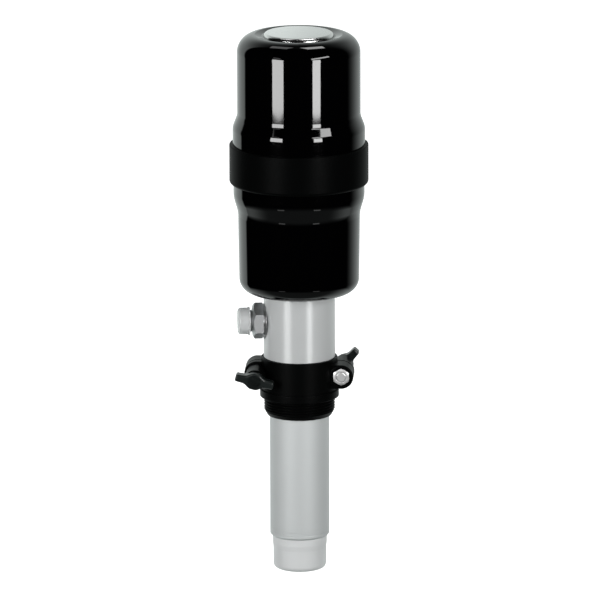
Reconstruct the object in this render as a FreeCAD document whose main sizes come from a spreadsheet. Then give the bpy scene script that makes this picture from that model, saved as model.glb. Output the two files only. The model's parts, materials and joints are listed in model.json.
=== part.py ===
"""Air-driven stub pump that hangs in a drum's 2 inch bung.

Frame: +Z up along the pump's axis, z = 0 at the underside of the bung flange, where
the bung thread begins. The outlet points along -X, the air inlet along +Y. The clamp
halves are turned about Z by ClampTurn, as the pump may be set in them at any angle.
"""
import FreeCAD, Part
import math
import os
import Sketcher

os.makedirs("parts", exist_ok=True)
doc = FreeCAD.newDocument("StubPump")
Vector = FreeCAD.Vector

# Driving sizes: millimetres and degrees

SIZES = [
    # bung adapter: two halves that clamp the suction tube
    ("BungThreadRadius", 29.807, "2 inch pipe thread, half its major diameter"),
    ("BungThreadPlain", 11.0, "full-size length of the thread"),
    ("BungThreadLength", 15.9, "thread with its lead-in"),
    ("BungTipRadius", 27.0, "end of the lead-in"),
    ("FlangeRadius", 33.2, "flange that stops on the drum's bung"),
    ("FlangeHeight", 6.4, "flange thickness"),
    ("CollarRadius", 32.0, "collar above the flange"),
    ("CollarHeight", 33.8, "collar's top, where the pump's shoulder rests"),
    ("ClampGap", 0.12, "per side, tube in the halves"),
    ("SlitHalf", 1.0, "half the slit between the halves"),
    ("ClampTurn", -8.0, "clamp's angle about the pump's axis"),
    ("EarReach", 35.9, "clamp screw's distance from the axis"),
    ("EarHeight", 19.8, "clamp screw's height"),
    ("EarRadius", 10.2, "rounded end of an ear"),
    ("EarRoot", 26.4, "where an ear starts inside the collar wall"),
    ("NutEarDepth", 17.6, "thick ear with the nut pocket"),
    ("WingEarDepth", 7.0, "thin ear under the wing knob"),
    ("EarRound", 1.0, "rounding of an ear's face"),
    # clamp screws
    ("StudRadius", 4.0, "M8 stud"),
    ("StudProud", 0.6, "stud end past the nut ear's face"),
    ("StudHoleGap", 0.3, "per side, stud in the ears and washer"),
    ("NutGap", 0.06, "per side, stud in the nut's thread"),
    ("NutFlats", 13.0, "M8 nut across flats"),
    ("NutHeight", 6.5, "M8 nut"),
    ("NutPocketGap", 0.1, "per side, nut in its pocket"),
    ("WasherRadius", 8.0, "M8 washer"),
    ("WasherThick", 1.6, "M8 washer"),
    ("SpotFaceGap", 0.4, "per side, washer in the collar's spot face"),
    ("KnobNeckRadius", 6.3, "neck of the wing knob"),
    ("KnobNeckLength", 18.6, "washer to the wings"),
    ("KnobThick", 11.0, "wings along the screw"),
    ("KnobSpan", 16.4, "half the wings' span"),
    ("KnobTipHalf", 3.0, "half the height of a wing's tip"),
    ("KnobWaistAt", 8.4, "where a wing is slimmest"),
    ("KnobWaistHalf", 3.4, "half its height there"),
    ("KnobHubHalf", 6.9, "half the height over the hub"),
    ("KnobHubWidth", 3.0, "half the width of the hub's flat"),
    ("KnobRound", 2.2, "rounding of the wings' ends"),
    ("StudInKnob", 16.0, "moulded-in length of the stud"),
    ("LeftKnobTurn", -13.0, "wings' angle as left, seen from the front"),
    ("RightKnobTurn", 47.0, "wings' angle as left, seen from the front"),
    # suction tube, its foot valve and the outlet body
    ("TubeRadius", 25.0, "suction tube outside"),
    ("TubeBore", 22.5, "pump cylinder bore, as radius"),
    ("TubeBottom", -114.0, "tube's end on the foot's shoulder"),
    ("TubeInBody", 16.2, "tube's length inside the outlet body"),
    ("FitGap", 0.1, "per side between screwed or plugged pieces"),
    ("RingDepth", 1.5, "groove depth of the sealing rings"),
    ("RingWidth", 2.4, "groove width of the sealing rings"),
    ("TubeRingDrop", 6.0, "tube's ring below the tube's top"),
    ("FootShoulder", 6.6, "foot's shoulder under the tube"),
    ("FootChamfer", 1.6, "chamfer of that shoulder"),
    ("FootThreadRadius", 20.955, "1 1/4 inch pipe thread, half its major diameter"),
    ("FootThreadEnd", -147.3, "end of the foot's nipple"),
    ("FootPlug", 16.0, "foot's plug in the tube bore"),
    ("FootBore", 15.0, "suction bore, as radius"),
    ("FootNeck", 12.0, "bore under the seat, as radius"),
    ("FootSeatZ", -128.0, "underside of the foot seat"),
    ("SeatHeight", 4.0, "both valve seats"),
    ("FootSeatBore", 9.5, "foot seat, as radius"),
    ("FootCage", 14.0, "ball cage, as radius"),
    ("FootBallRadius", 11.0, "foot valve ball"),
    ("FootBallLift", 5.0, "foot ball's travel to its stop pin"),
    ("BallGap", 0.3, "ball above its seat's edge and below its pin"),
    ("StopPinRadius", 1.5, "pins that stop the balls"),
    ("StopPinBite", 4.0, "length of each pin end in the wall"),
    ("BodyRadius", 30.0, "outlet body outside"),
    ("BodyTop", 104.0, "outlet body's top, on the motor base"),
    ("ChamberRadius", 24.0, "outlet chamber"),
    # outlet, measured from the pump's axis along -X
    ("OutletHeight", 65.0, "outlet axis"),
    ("SpotFace", 28.5, "flat that the outlet seal lies on"),
    ("SpotRadius", 15.6, "spot-face"),
    ("SealRadius", 14.3, "bonded seal outside"),
    ("SealThick", 2.5, "bonded seal"),
    ("SealRubber", 12.0, "joint of the seal's metal and rubber"),
    ("OutletThreadRadius", 10.4775, "1/2 inch pipe thread, half its major diameter"),
    ("OutletInner", 20.0, "nipple's inner end"),
    ("OutletBore", 7.0, "nipple bore, as radius"),
    ("OutletHexFlats", 27.0, "nipple hexagon across flats"),
    ("OutletHexThick", 8.3, "nipple hexagon"),
    ("HexChamfer", 1.3, "chamfer of the hexagon's outer corners"),
    ("ReliefRadius", 9.55, "thread relief behind the hexagon"),
    ("ReliefLength", 2.5, "thread relief"),
    ("OutletThreadLength", 8.6, "nipple thread past the relief"),
    ("ThreadChamfer", 1.0, "lead-in of both nipples"),
    # push-on caps that protect the threads
    ("CapGap", 0.12, "per side, cap on its thread"),
    ("OutletCapWall", 0.7, "outlet cap wall"),
    ("OutletCapLip", 1.4, "height and width of its lip"),
    ("OutletCapFloor", 1.4, "outlet cap's end"),
    ("OutletCapRound", 2.4, "rounding of its end"),
    ("InletCapWall", 1.25, "inlet cap wall"),
    ("InletCapLip", 0.6, "lip proud of the wall"),
    ("InletCapLipLength", 8.0, "lip along the cap"),
    ("InletCapFloor", 1.7, "inlet cap's end"),
    ("InletCapRound", 4.3, "rounding of its end"),
    # drive rod and pump piston
    ("RodRadius", 16.0, "displacer rod"),
    ("RodBottom", -84.0, "rod's end on the piston seat, at the stroke's bottom"),
    ("RodCage", 12.5, "ball cage in the rod, as radius"),
    ("RodPortRadius", 4.5, "cross ports above the pump piston"),
    ("RodPortRise", 14.0, "ports above the rod's end"),
    ("PistonBallRadius", 10.0, "piston valve ball"),
    ("PistonBallLift", 4.0, "piston ball's travel to its stop pin"),
    ("PistonSeatBore", 8.5, "piston seat, as radius"),
    ("PumpPistonBelow", 6.0, "pump piston below its seat"),
    ("PumpPistonAbove", 8.0, "pump piston above the rod's end"),
    ("PumpPistonGap", 0.4, "per side, pump piston in the bore"),
    ("PumpSealDepth", 2.8, "pump piston's seal groove"),
    ("PumpSealEdge", 4.0, "land below and above that seal"),
    ("RunGap", 0.05, "per side, seals and guided rods"),
    # air motor
    ("BaseRadius", 47.0, "motor base"),
    ("BaseThick", 14.0, "motor base"),
    ("BaseBoss", 18.0, "boss that plugs into the outlet body"),
    ("BaseBore", 16.4, "clearance bore round the rod, as radius"),
    ("GlandRadius", 21.0, "packing and its nut"),
    ("GlandNutThick", 6.0, "gland nut"),
    ("AirSealRadius", 19.4, "air seal of the rod, outside"),
    ("AirSealThick", 4.0, "air seal of the rod"),
    ("AirSealBelow", 3.0, "land above the air seal"),
    ("CylinderBore", 38.0, "air cylinder, as radius"),
    ("CylinderWall", 3.0, "air cylinder"),
    ("CylinderLength", 82.0, "air cylinder"),
    ("GasketThick", 1.0, "cylinder gaskets"),
    ("CylinderSeat", 3.0, "cylinder's depth in base and head"),
    ("PistonRise", 1.0, "air piston above the base at the stroke's bottom"),
    ("PistonThick", 12.0, "air piston"),
    ("PistonGap", 0.3, "per side, air piston in its cylinder"),
    ("PistonSealThick", 6.0, "air piston seal"),
    ("PistonSealDepth", 3.6, "air piston seal's groove"),
    ("SpigotRadius", 9.0, "rod's spigot through the air piston"),
    ("PistonNutFlats", 27.0, "nut on the spigot"),
    ("PistonNutThick", 6.0, "nut on the spigot"),
    ("TieReach", 43.4, "tie bolts' distance from the axis"),
    ("TieRadius", 2.0, "tie bolts, M4"),
    ("TieHeadRadius", 3.4, "tie bolt heads"),
    ("TieHeadThick", 4.0, "tie bolt heads"),
    ("TieInHead", 12.0, "tie bolts' length in the head"),
    # head, which shows as the band between the covers
    ("HeadRadius", 58.2, "head outside"),
    ("HeadBottom", 183.0, "lower edge of the head's skirt"),
    ("HeadPlate", 194.0, "underside of the head's plate"),
    ("HeadTop", 216.4, "top of the head"),
    ("HeadRoundLow", 2.8, "rounding of the lower edge"),
    ("HeadRoundTop", 1.0, "rounding of the top edge"),
    ("HeadRecess", 17.0, "recess over the piston's nut, as radius"),
    ("HeadRecessDepth", 10.0, "that recess"),
    ("HeadBore", 10.0, "bore from the recess to the valve, as radius"),
    ("SpigotRing", 4.0, "height of the ring that centres the upper cover"),
    ("SpigotRingWall", 2.6, "that ring's wall"),
    ("AirInletRadius", 5.7225, "1/4 inch pipe thread, half its minor diameter"),
    ("AirInletDepth", 12.0, "air inlet thread"),
    ("AirPassage", 4.0, "air passage, as radius"),
    ("AirInletSink", 0.8, "spot-face of the air inlet, into the head's rim"),
    ("AirInletSpot", 9.0, "radius of that spot-face"),
    # covers
    ("CoverWall", 2.6, "moulded covers"),
    ("CoverGap", 0.15, "per side, covers at the head"),
    ("LowerCoverFloor", 89.7, "underside of the lower cover"),
    ("LowerCoverHole", 31.2, "hole round the outlet body, as radius"),
    ("LowerCoverBase", 50.1, "lower cover at its floor, as radius"),
    ("LowerCoverWaist", 51.1, "under its flare, as radius"),
    ("LowerCoverRim", 54.9, "at its rim, as radius"),
    ("LowerFlareStart", 158.6, "height where the flare starts"),
    ("LowerFlareEnd", 171.4, "height where the flare ends"),
    ("LowerCoverRound", 12.0, "rounding of the floor's edge"),
    ("LowerFlareRound", 6.0, "rounding of the flare's bends"),
    ("CirclipThick", 1.5, "ring that holds the lower cover up"),
    ("CirclipRadius", 33.0, "ring outside"),
    ("CirclipDepth", 1.5, "ring's groove in the outlet body"),
    ("CirclipGap", 24.0, "angle of the ring's opening"),
    ("UpperCoverMouth", 55.4, "upper cover at its mouth, as radius"),
    ("UpperCoverRadius", 51.6, "upper cover's wall"),
    ("UpperFlareStart", 228.4, "height where the mouth starts to narrow"),
    ("UpperFlareEnd", 240.4, "height where the wall is straight"),
    ("UpperFlareRound", 7.0, "rounding of those bends"),
    ("UpperCoverTop", 310.0, "crest of the upper cover"),
    ("UpperCoverRound", 15.0, "shoulder of the upper cover"),
    ("DipDepth", 1.8, "dish inside the crest"),
    ("DipWidth", 5.4, "sloping ring of that dish"),
    # disc on top, its stud and the parts under it
    ("DishFlat", 1.7, "flat of the dish round the disc"),
    ("DiscProud", 1.6, "disc above the crest"),
    ("DiscSink", 3.4, "disc's seat below the crest"),
    ("DiscRound", 1.8, "rounding of the disc's edge"),
    ("CoverStudRadius", 5.0, "stud between valve cap and disc"),
    ("CoverStudInDisc", 2.6, "stud's length in the disc"),
    ("ValveBlockRadius", 17.0, "valve block"),
    ("ValveBlockHeight", 41.6, "valve block"),
    ("ValveFlangeRadius", 27.0, "valve block's flange"),
    ("ValveFlangeThick", 5.6, "valve block's flange"),
    ("ValveScrewReach", 22.5, "valve screws from the axis"),
    ("ValveScrewDepth", 10.0, "valve screws in the head"),
    ("ValveCapThick", 6.0, "valve cap"),
    ("SleeveRadius", 13.0, "ported sleeve outside"),
    ("SleeveBore", 9.9, "ported sleeve, as radius"),
    ("SleeveLength", 33.0, "ported sleeve"),
    ("SleevePortRadius", 2.5, "ports in the sleeve"),
    ("SpoolGap", 0.03, "per side, spool in its sleeve"),
    ("SpoolRise", 4.0, "spool above the sleeve's lower end, shifted down"),
    ("SpoolLength", 20.0, "spool"),
    ("SpoolLand", 5.0, "sealing land at each end of the spool"),
    ("SpoolWaist", 6.5, "spool between its lands, as radius"),
    ("FoamBore", 27.6, "silencer foam inside, as radius"),
    ("FoamGap", 0.4, "per side, foam in the cover"),
    ("PlateThick", 1.5, "plate on the foam"),
    # trip gear, which shifts the spool at each end of the stroke
    ("TripRodRadius", 2.5, "trip rod"),
    ("TripHoleGap", 0.4, "per side, trip rod in the plate"),
    ("TripBore", 6.0, "trip rod's bore in the drive rod, as radius"),
    ("TripBoreBottom", 56.0, "end of that bore"),
    ("TripPlateThick", 2.0, "plate on the air piston's nut"),
    ("TripPlateRadius", 9.0, "plate on the air piston's nut"),
    ("TripStopRadius", 5.4, "stop on the trip rod's end"),
    ("TripStopThick", 5.0, "stop on the trip rod's end"),
    ("BumperLength", 12.0, "elastic bumpers on the trip rod"),
    ("BumperRadius", 5.0, "elastic bumpers"),
    ("BumperGap", 0.4, "bumper to plate"),
    ("Stroke", 60.0, "air piston's stroke"),
    ("TripNutThick", 4.0, "nut over the spool"),
]

sheet = doc.addObject("Spreadsheet::Sheet", "Sizes")
for row, (alias, value, meaning) in enumerate(SIZES, start=1):
    sheet.set(f"A{row}", meaning)
    sheet.set(f"B{row}", str(value))
    sheet.setAlias(f"B{row}", alias)
doc.recompute()


class Term:
    """A size worked out from the sheet: its value now, and the expression that binds it."""

    def __init__(self, value, text):
        self.value = value
        self.text = text

    def join(self, other, sign, value):
        return Term(value, f"({self.text} {sign} {as_term(other).text})")

    def __add__(self, other):
        return self.join(other, "+", self.value + as_term(other).value)

    def __sub__(self, other):
        return self.join(other, "-", self.value - as_term(other).value)

    def __mul__(self, other):
        return self.join(other, "*", self.value * as_term(other).value)

    def __truediv__(self, other):
        return self.join(other, "/", self.value / as_term(other).value)

    def __neg__(self):
        return Term(-self.value, f"(0 - {self.text})")


def as_term(number):
    return number if isinstance(number, Term) else Term(float(number), repr(float(number)))


class Sizes:
    """The sheet's sizes by name."""

    def __getattr__(self, alias):
        return Term(float(getattr(sheet, alias)), f"Sizes.{alias}")


S = Sizes()
ZERO = as_term(0)


def bind(item, prop, term):
    item.setExpression(prop, as_term(term).text)


# Sketches and features

def new_body(name):
    body = doc.addObject("PartDesign::Body", name)
    body.Label = name
    return body


def new_sketch(body, role, offset=None):
    plane = [item for item in body.Origin.OriginFeatures if item.Role == role][0]
    sketch = body.newObject("Sketcher::SketchObject", f"{body.Name}_{role}")
    sketch.AttachmentSupport = [(plane, "")]
    sketch.MapMode = "FlatFace"
    if offset is not None:
        bind(sketch, "AttachmentOffset.Base.z", offset)
    return sketch


def pin_point(sketch, geometry, vertex, across, along):
    """Hold a point at its place from the sketch's origin."""
    for kind, term in (("DistanceX", across), ("DistanceY", along)):
        term = as_term(term)
        rule = Sketcher.Constraint(kind, -1, 1, geometry, vertex, term.value)
        index = sketch.addConstraint(rule)
        bind(sketch, f"Constraints[{index}]", term)


def draw_polygon(sketch, points):
    points = [(as_term(across), as_term(along)) for across, along in points]
    ends = points[1:] + points[:1]
    lines = []
    for (x_start, y_start), (x_end, y_end) in zip(points, ends):
        start = Vector(x_start.value, y_start.value, 0)
        end = Vector(x_end.value, y_end.value, 0)
        lines.append(sketch.addGeometry(Part.LineSegment(start, end)))
    for line, following in zip(lines, lines[1:] + lines[:1]):
        sketch.addConstraint(Sketcher.Constraint("Coincident", line, 2, following, 1))
    for line, (across, along) in zip(lines, points):
        pin_point(sketch, line, 1, across, along)


def draw_circle(sketch, across, along, radius):
    across, along, radius = as_term(across), as_term(along), as_term(radius)
    centre = Vector(across.value, along.value, 0)
    circle = sketch.addGeometry(Part.Circle(centre, Vector(0, 0, 1), radius.value))
    pin_point(sketch, circle, 3, across, along)
    index = sketch.addConstraint(Sketcher.Constraint("Radius", circle, radius.value))
    bind(sketch, f"Constraints[{index}]", radius)


def box_points(low_x, low_y, high_x, high_y):
    return [(low_x, low_y), (high_x, low_y), (high_x, high_y), (low_x, high_y)]


def hexagon_points(flats):
    """Corners of a hexagon with two of them on the second axis."""
    corner = flats / (2 * math.cos(math.pi / 6))
    angles = [math.radians(30 + 60 * index) for index in range(6)]
    return [(corner * math.cos(angle), corner * math.sin(angle)) for angle in angles]


def turn(body, points, angle=360, kind="PartDesign::Revolution", name="turned"):
    """Turn an outline of (radius, height) corners about the body's own Z axis."""
    sketch = new_sketch(body, "XZ_Plane")
    draw_polygon(sketch, points)
    feature = body.newObject(kind, f"{body.Name}_{name}")
    feature.Profile = sketch
    feature.ReferenceAxis = (sketch, ["V_Axis"])
    if isinstance(angle, Term):
        bind(feature, "Angle", angle)
    else:
        feature.Angle = angle
    sketch.Visibility = False
    return feature


def turned(name, points, angle=360):
    body = new_body(name)
    turn(body, points, angle)
    return body


def pad(body, sketch, length, midplane=False, reverse=False):
    feature = body.newObject("PartDesign::Pad", f"{body.Name}_pad")
    feature.Profile = sketch
    bind(feature, "Length", length)
    feature.Midplane = midplane
    feature.Reversed = reverse
    return feature


def pocket(body, sketch, length=None, both_ways=False):
    """Cut along the sketch's normal, on the side where the solid is."""
    doc.recompute()
    before = body.Shape.Volume
    feature = body.newObject("PartDesign::Pocket", f"{body.Name}_pocket")
    feature.Profile = sketch
    if length is None:
        feature.Type = "ThroughAll"
    else:
        bind(feature, "Length", length)
    feature.Midplane = both_ways
    doc.recompute()
    if body.Shape.Volume > before - 1e-6:
        feature.Reversed = True
        doc.recompute()
    if body.Shape.Volume > before - 1e-6:
        raise RuntimeError(f"{body.Label}: a pocket cuts nothing")
    return feature


def pocket_towards(body, sketch, length, minus_side):
    """Cut on one side of the sketch only: along its normal, or against it."""
    doc.recompute()
    before = body.Shape.Volume
    feature = body.newObject("PartDesign::Pocket", f"{body.Name}_side")
    feature.Profile = sketch
    if length is None:
        feature.Type = "ThroughAll"
    else:
        bind(feature, "Length", length)
    feature.Reversed = not minus_side
    doc.recompute()
    if body.Shape.Volume > before - 1e-6:
        raise RuntimeError(f"{body.Label}: a side cut removes nothing")
    return feature


def groove(body, points):
    doc.recompute()
    before = body.Shape.Volume
    feature = turn(body, points, kind="PartDesign::Groove", name="groove")
    doc.recompute()
    if body.Shape.Volume > before - 1e-6:
        raise RuntimeError(f"{body.Label}: a groove cuts nothing")
    return feature


def ring_of(body, feature, count):
    """Repeat a feature evenly about the body's Z axis."""
    pattern = body.newObject("PartDesign::PolarPattern", f"{body.Name}_ring")
    pattern.Originals = [feature]
    axis = [item for item in body.Origin.OriginFeatures if item.Role == "Z_Axis"][0]
    pattern.Axis = (axis, [""])
    pattern.Angle = 360
    pattern.Occurrences = count
    body.Tip = pattern
    return pattern


def rim_edges(body, rims):
    """Names of the tip's circular edges at the given (radius, height) places."""
    shape = body.Tip.Shape
    names = []
    for index, edge in enumerate(shape.Edges, start=1):
        if not isinstance(edge.Curve, Part.Circle):
            continue
        for radius, height in rims:
            same_size = abs(edge.Curve.Radius - as_term(radius).value) < 1e-4
            if same_size and abs(edge.Curve.Center.z - as_term(height).value) < 1e-4:
                names.append(f"Edge{index}")
    return names


def round_edges(body, names, radius):
    if not names:
        raise RuntimeError(f"{body.Label}: no edge to round")
    base = body.Tip
    feature = body.newObject("PartDesign::Fillet", f"{body.Name}_round")
    feature.Base = (base, names)
    bind(feature, "Radius", radius)
    doc.recompute()


def round_rims(body, rims, radius):
    doc.recompute()
    round_edges(body, rim_edges(body, rims), radius)


def place(body, *steps):
    """Place a body by steps of (position, axis, angle), the outermost first."""
    parts = []
    for position, axis, angle in steps:
        where = "; ".join(as_term(value).text for value in position)
        about = "; ".join(str(value) for value in axis)
        turn_text = f"rotation(vector({about}); {as_term(angle).text})"
        parts.append(f"placement(vector({where}); {turn_text})")
    body.setExpression("Placement", " * ".join(parts))


X_AXIS = (1, 0, 0)
Y_AXIS = (0, 1, 0)
Z_AXIS = (0, 0, 1)
ORIGIN = (0, 0, 0)


# Bung adapter

def ear_boss(body, side, depth):
    """Round end of an ear, turned about the clamp screw's axis."""
    sketch = new_sketch(body, "XY_Plane", S.EarHeight)
    centre = S.EarReach * side
    rim = centre + S.EarRadius
    draw_polygon(sketch, [
        (centre, ZERO),
        (rim, ZERO),
        (rim, S.EarRound - depth),
        (rim - S.EarRound, -depth),
        (centre, -depth),
    ])
    start = Vector(centre.value, -depth.value, 0)
    end = Vector(centre.value, depth.value, 0)
    axis = sketch.addGeometry(Part.LineSegment(start, end), True)
    pin_point(sketch, axis, 1, centre, -depth)
    pin_point(sketch, axis, 2, centre, depth)
    boss = body.newObject("PartDesign::Revolution", f"{body.Name}_boss")
    boss.Profile = sketch
    boss.ReferenceAxis = (sketch, ["Axis0"])
    boss.Angle = 360


def clamp_half(name, extra_turn):
    """One half of the bung adapter, with a nut ear at +X and a wing ear at -X."""
    bore = S.TubeRadius + S.ClampGap
    outline = [
        (bore, -S.BungThreadLength),
        (S.BungTipRadius, -S.BungThreadLength),
        (S.BungThreadRadius, -S.BungThreadPlain),
        (S.BungThreadRadius, ZERO),
        (S.FlangeRadius, ZERO),
        (S.FlangeRadius, S.FlangeHeight),
        (S.CollarRadius, S.FlangeHeight),
        (S.CollarRadius, S.CollarHeight),
        (bore, S.CollarHeight),
    ]
    body = new_body(name)
    half = turn(body, outline, 180)
    doc.recompute()
    if body.Shape.CenterOfGravity.y > 0:
        half.Reversed = True
    for side, depth in ((1, S.NutEarDepth), (-1, S.WingEarDepth)):
        ear_boss(body, side, depth)
        web = new_sketch(body, "XZ_Plane")
        draw_polygon(web, box_points(S.EarRoot * side, S.EarHeight - S.EarRadius,
                                     S.EarReach * side, S.EarHeight + S.EarRadius))
        pad(body, web, depth - S.EarRound)
        doc.recompute()
    holes = new_sketch(body, "XZ_Plane")
    for side in (1, -1):
        draw_circle(holes, S.EarReach * side, S.EarHeight, S.StudRadius + S.StudHoleGap)
    pocket(body, holes)
    nut_seat = S.NutEarDepth - S.NutHeight
    nut = new_sketch(body, "XZ_Plane", nut_seat)
    corners = hexagon_points(S.NutFlats + S.NutPocketGap * 2)
    draw_polygon(nut, [(S.EarReach + x, S.EarHeight + y) for x, y in corners])
    pocket_towards(body, nut, None, minus_side=False)
    spot_face = new_sketch(body, "XZ_Plane", S.WingEarDepth)
    draw_circle(spot_face, -S.EarReach, S.EarHeight, S.WasherRadius + S.SpotFaceGap)
    pocket_towards(body, spot_face, None, minus_side=False)
    slit = new_sketch(body, "XY_Plane")
    reach = S.EarReach + S.EarRadius * 2
    draw_polygon(slit, box_points(-reach, -S.SlitHalf, reach, S.SlitHalf))
    pocket(body, slit, both_ways=True)
    place(body, (ORIGIN, Z_AXIS, S.ClampTurn + extra_turn))
    return body


def clamp_nuts():
    """Both captured nuts, one in each half's thick ear."""
    body = new_body("clamp_nuts")
    nut_seat = S.NutEarDepth - S.NutHeight
    sketch = new_sketch(body, "XZ_Plane", nut_seat)
    corners = hexagon_points(S.NutFlats)
    draw_polygon(sketch, [(S.EarReach + x, S.EarHeight + y) for x, y in corners])
    draw_circle(sketch, S.EarReach, S.EarHeight, S.StudRadius + S.NutGap)
    nut = pad(body, sketch, S.NutHeight)
    doc.recompute()
    ring_of(body, nut, 2)
    place(body, (ORIGIN, Z_AXIS, S.ClampTurn))


def wing_screw(side, extra_turn, knob_turn):
    """Washer, stud and wing knob, along Z from the slit out of the wing ear."""
    steps = (
        (ORIGIN, Z_AXIS, S.ClampTurn + extra_turn),
        ((-S.EarReach, ZERO, S.EarHeight), X_AXIS, 90),
    )
    neck = S.WingEarDepth + S.WasherThick
    washer = turned(f"{side}_washer", box_points(
        S.StudRadius + S.StudHoleGap, S.WingEarDepth, S.WasherRadius, neck))
    place(washer, *steps)
    stud_top = neck + S.StudInKnob
    stud = turned(f"{side}_stud", box_points(
        ZERO, -S.NutEarDepth - S.StudProud, S.StudRadius, stud_top))
    place(stud, *steps)
    wings = neck + S.KnobNeckLength
    top = wings + S.KnobThick
    knob = new_body(f"{side}_wing_knob")
    turn(knob, [
        (S.StudRadius, neck),
        (S.KnobNeckRadius, neck),
        (S.KnobNeckRadius, top),
        (ZERO, top),
        (ZERO, stud_top),
        (S.StudRadius, stud_top),
    ])
    sketch = new_sketch(knob, "XY_Plane", wings)
    quarter = [
        (S.KnobSpan, S.KnobTipHalf),
        (S.KnobWaistAt, S.KnobWaistHalf),
        (S.KnobHubWidth, S.KnobHubHalf),
    ]
    upper = quarter + [(-x, y) for x, y in reversed(quarter)]
    draw_polygon(sketch, upper + [(-x, -y) for x, y in upper])
    pad(knob, sketch, S.KnobThick)
    doc.recompute()
    tips = []
    for index, edge in enumerate(knob.Tip.Shape.Edges, start=1):
        middle = edge.CenterOfGravity
        along = isinstance(edge.Curve, Part.Line) and abs(edge.tangentAt(0).z) > 0.99
        if along and abs(abs(middle.x) - S.KnobSpan.value) < 1e-4:
            tips.append(f"Edge{index}")
    round_edges(knob, tips, S.KnobRound)
    place(knob, *steps, (ORIGIN, Z_AXIS, knob_turn))


# Suction tube, foot valve and outlet body

def seal_groove(radius, height, width, depth):
    """Corners of a square groove's wall, from its lower edge to its upper one."""
    return [
        (radius, height - width / 2),
        (radius - depth, height - width / 2),
        (radius - depth, height + width / 2),
        (radius, height + width / 2),
    ]


def seal_ring(name, radius, height):
    """Rubber ring that fills a square groove in a shaft of the given radius."""
    inner = radius - S.RingDepth
    return turned(name, box_points(inner, height - S.RingWidth / 2,
                                   radius, height + S.RingWidth / 2))


def suction_tube():
    top = S.CollarHeight + S.TubeInBody
    ring = top - S.TubeRingDrop
    outline = [(S.TubeBore, S.TubeBottom), (S.TubeRadius, S.TubeBottom)]
    outline += seal_groove(S.TubeRadius, ring, S.RingWidth, S.RingDepth)
    outline += [(S.TubeRadius, top), (S.TubeBore, top)]
    turned("pump_tube", outline)
    seal_ring("tube_ring", S.TubeRadius, ring)


def ball_height(seat_top, seat_bore, ball_radius):
    """Centre of a ball that lies BallGap above its seat's edge."""
    value = math.sqrt(ball_radius.value ** 2 - seat_bore.value ** 2)
    text = f"sqrt({ball_radius.text}^2 - {seat_bore.text}^2)"
    return seat_top + S.BallGap + Term(value, text)


def ball_valve(ball_name, seat_name, pin_name, seat_bottom, bore, outer, radius, lift, pin_half):
    """Seat, ball and stop pin; the ball rests on the seat."""
    seat_top = seat_bottom + S.SeatHeight
    turned(seat_name, box_points(bore, seat_bottom, outer, seat_top))
    centre = ball_height(seat_top, bore, radius)
    ball = doc.addObject("Part::Sphere", ball_name)
    ball.Label = ball_name
    bind(ball, "Radius", radius)
    place(ball, ((ZERO, ZERO, centre), Z_AXIS, 0))
    pin = new_body(pin_name)
    sketch = new_sketch(pin, "YZ_Plane")
    pin_height = stop_pin_height(centre, radius, lift)
    draw_circle(sketch, ZERO, pin_height, S.StopPinRadius)
    pad(pin, sketch, pin_half * 2, midplane=True)


def stop_pin_height(centre, radius, lift):
    return centre + radius + lift + S.BallGap + S.StopPinRadius


def cross_hole(body, role, height, radius):
    """A hole right across a body, through its axis."""
    sketch = new_sketch(body, role)
    draw_circle(sketch, ZERO, height, radius)
    pocket(body, sketch, both_ways=True)


def foot_valve():
    shoulder = S.TubeBottom - S.FootShoulder
    plug = S.TubeBore - S.FitGap
    plug_top = S.TubeBottom + S.FootPlug
    ring = S.TubeBottom + S.FootPlug / 2
    outline = [
        (S.FootBore, S.FootThreadEnd),
        (S.FootThreadRadius - S.ThreadChamfer, S.FootThreadEnd),
        (S.FootThreadRadius, S.FootThreadEnd + S.ThreadChamfer),
        (S.FootThreadRadius, shoulder),
        (S.TubeRadius - S.FootChamfer, shoulder),
        (S.TubeRadius, shoulder + S.FootChamfer),
        (S.TubeRadius, S.TubeBottom),
        (plug, S.TubeBottom),
    ]
    outline += seal_groove(plug, ring, S.RingWidth, S.RingDepth)
    outline += [
        (plug, plug_top),
        (S.FootCage, plug_top),
        (S.FootCage, S.FootSeatZ),
        (S.FootNeck, S.FootSeatZ),
        (S.FootNeck, S.FootSeatZ - S.SeatHeight),
        (S.FootBore, S.FootSeatZ - S.SeatHeight * 2),
    ]
    foot = turned("foot_valve_body", outline)
    seal_ring("foot_ring", plug, ring)
    seat_top = S.FootSeatZ + S.SeatHeight
    centre = ball_height(seat_top, S.FootSeatBore, S.FootBallRadius)
    pin = stop_pin_height(centre, S.FootBallRadius, S.FootBallLift)
    cross_hole(foot, "YZ_Plane", pin, S.StopPinRadius)
    ball_valve("foot_ball", "foot_seat", "foot_ball_stop", S.FootSeatZ, S.FootSeatBore,
               S.FootCage, S.FootBallRadius, S.FootBallLift, S.FootCage + S.StopPinBite)


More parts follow.
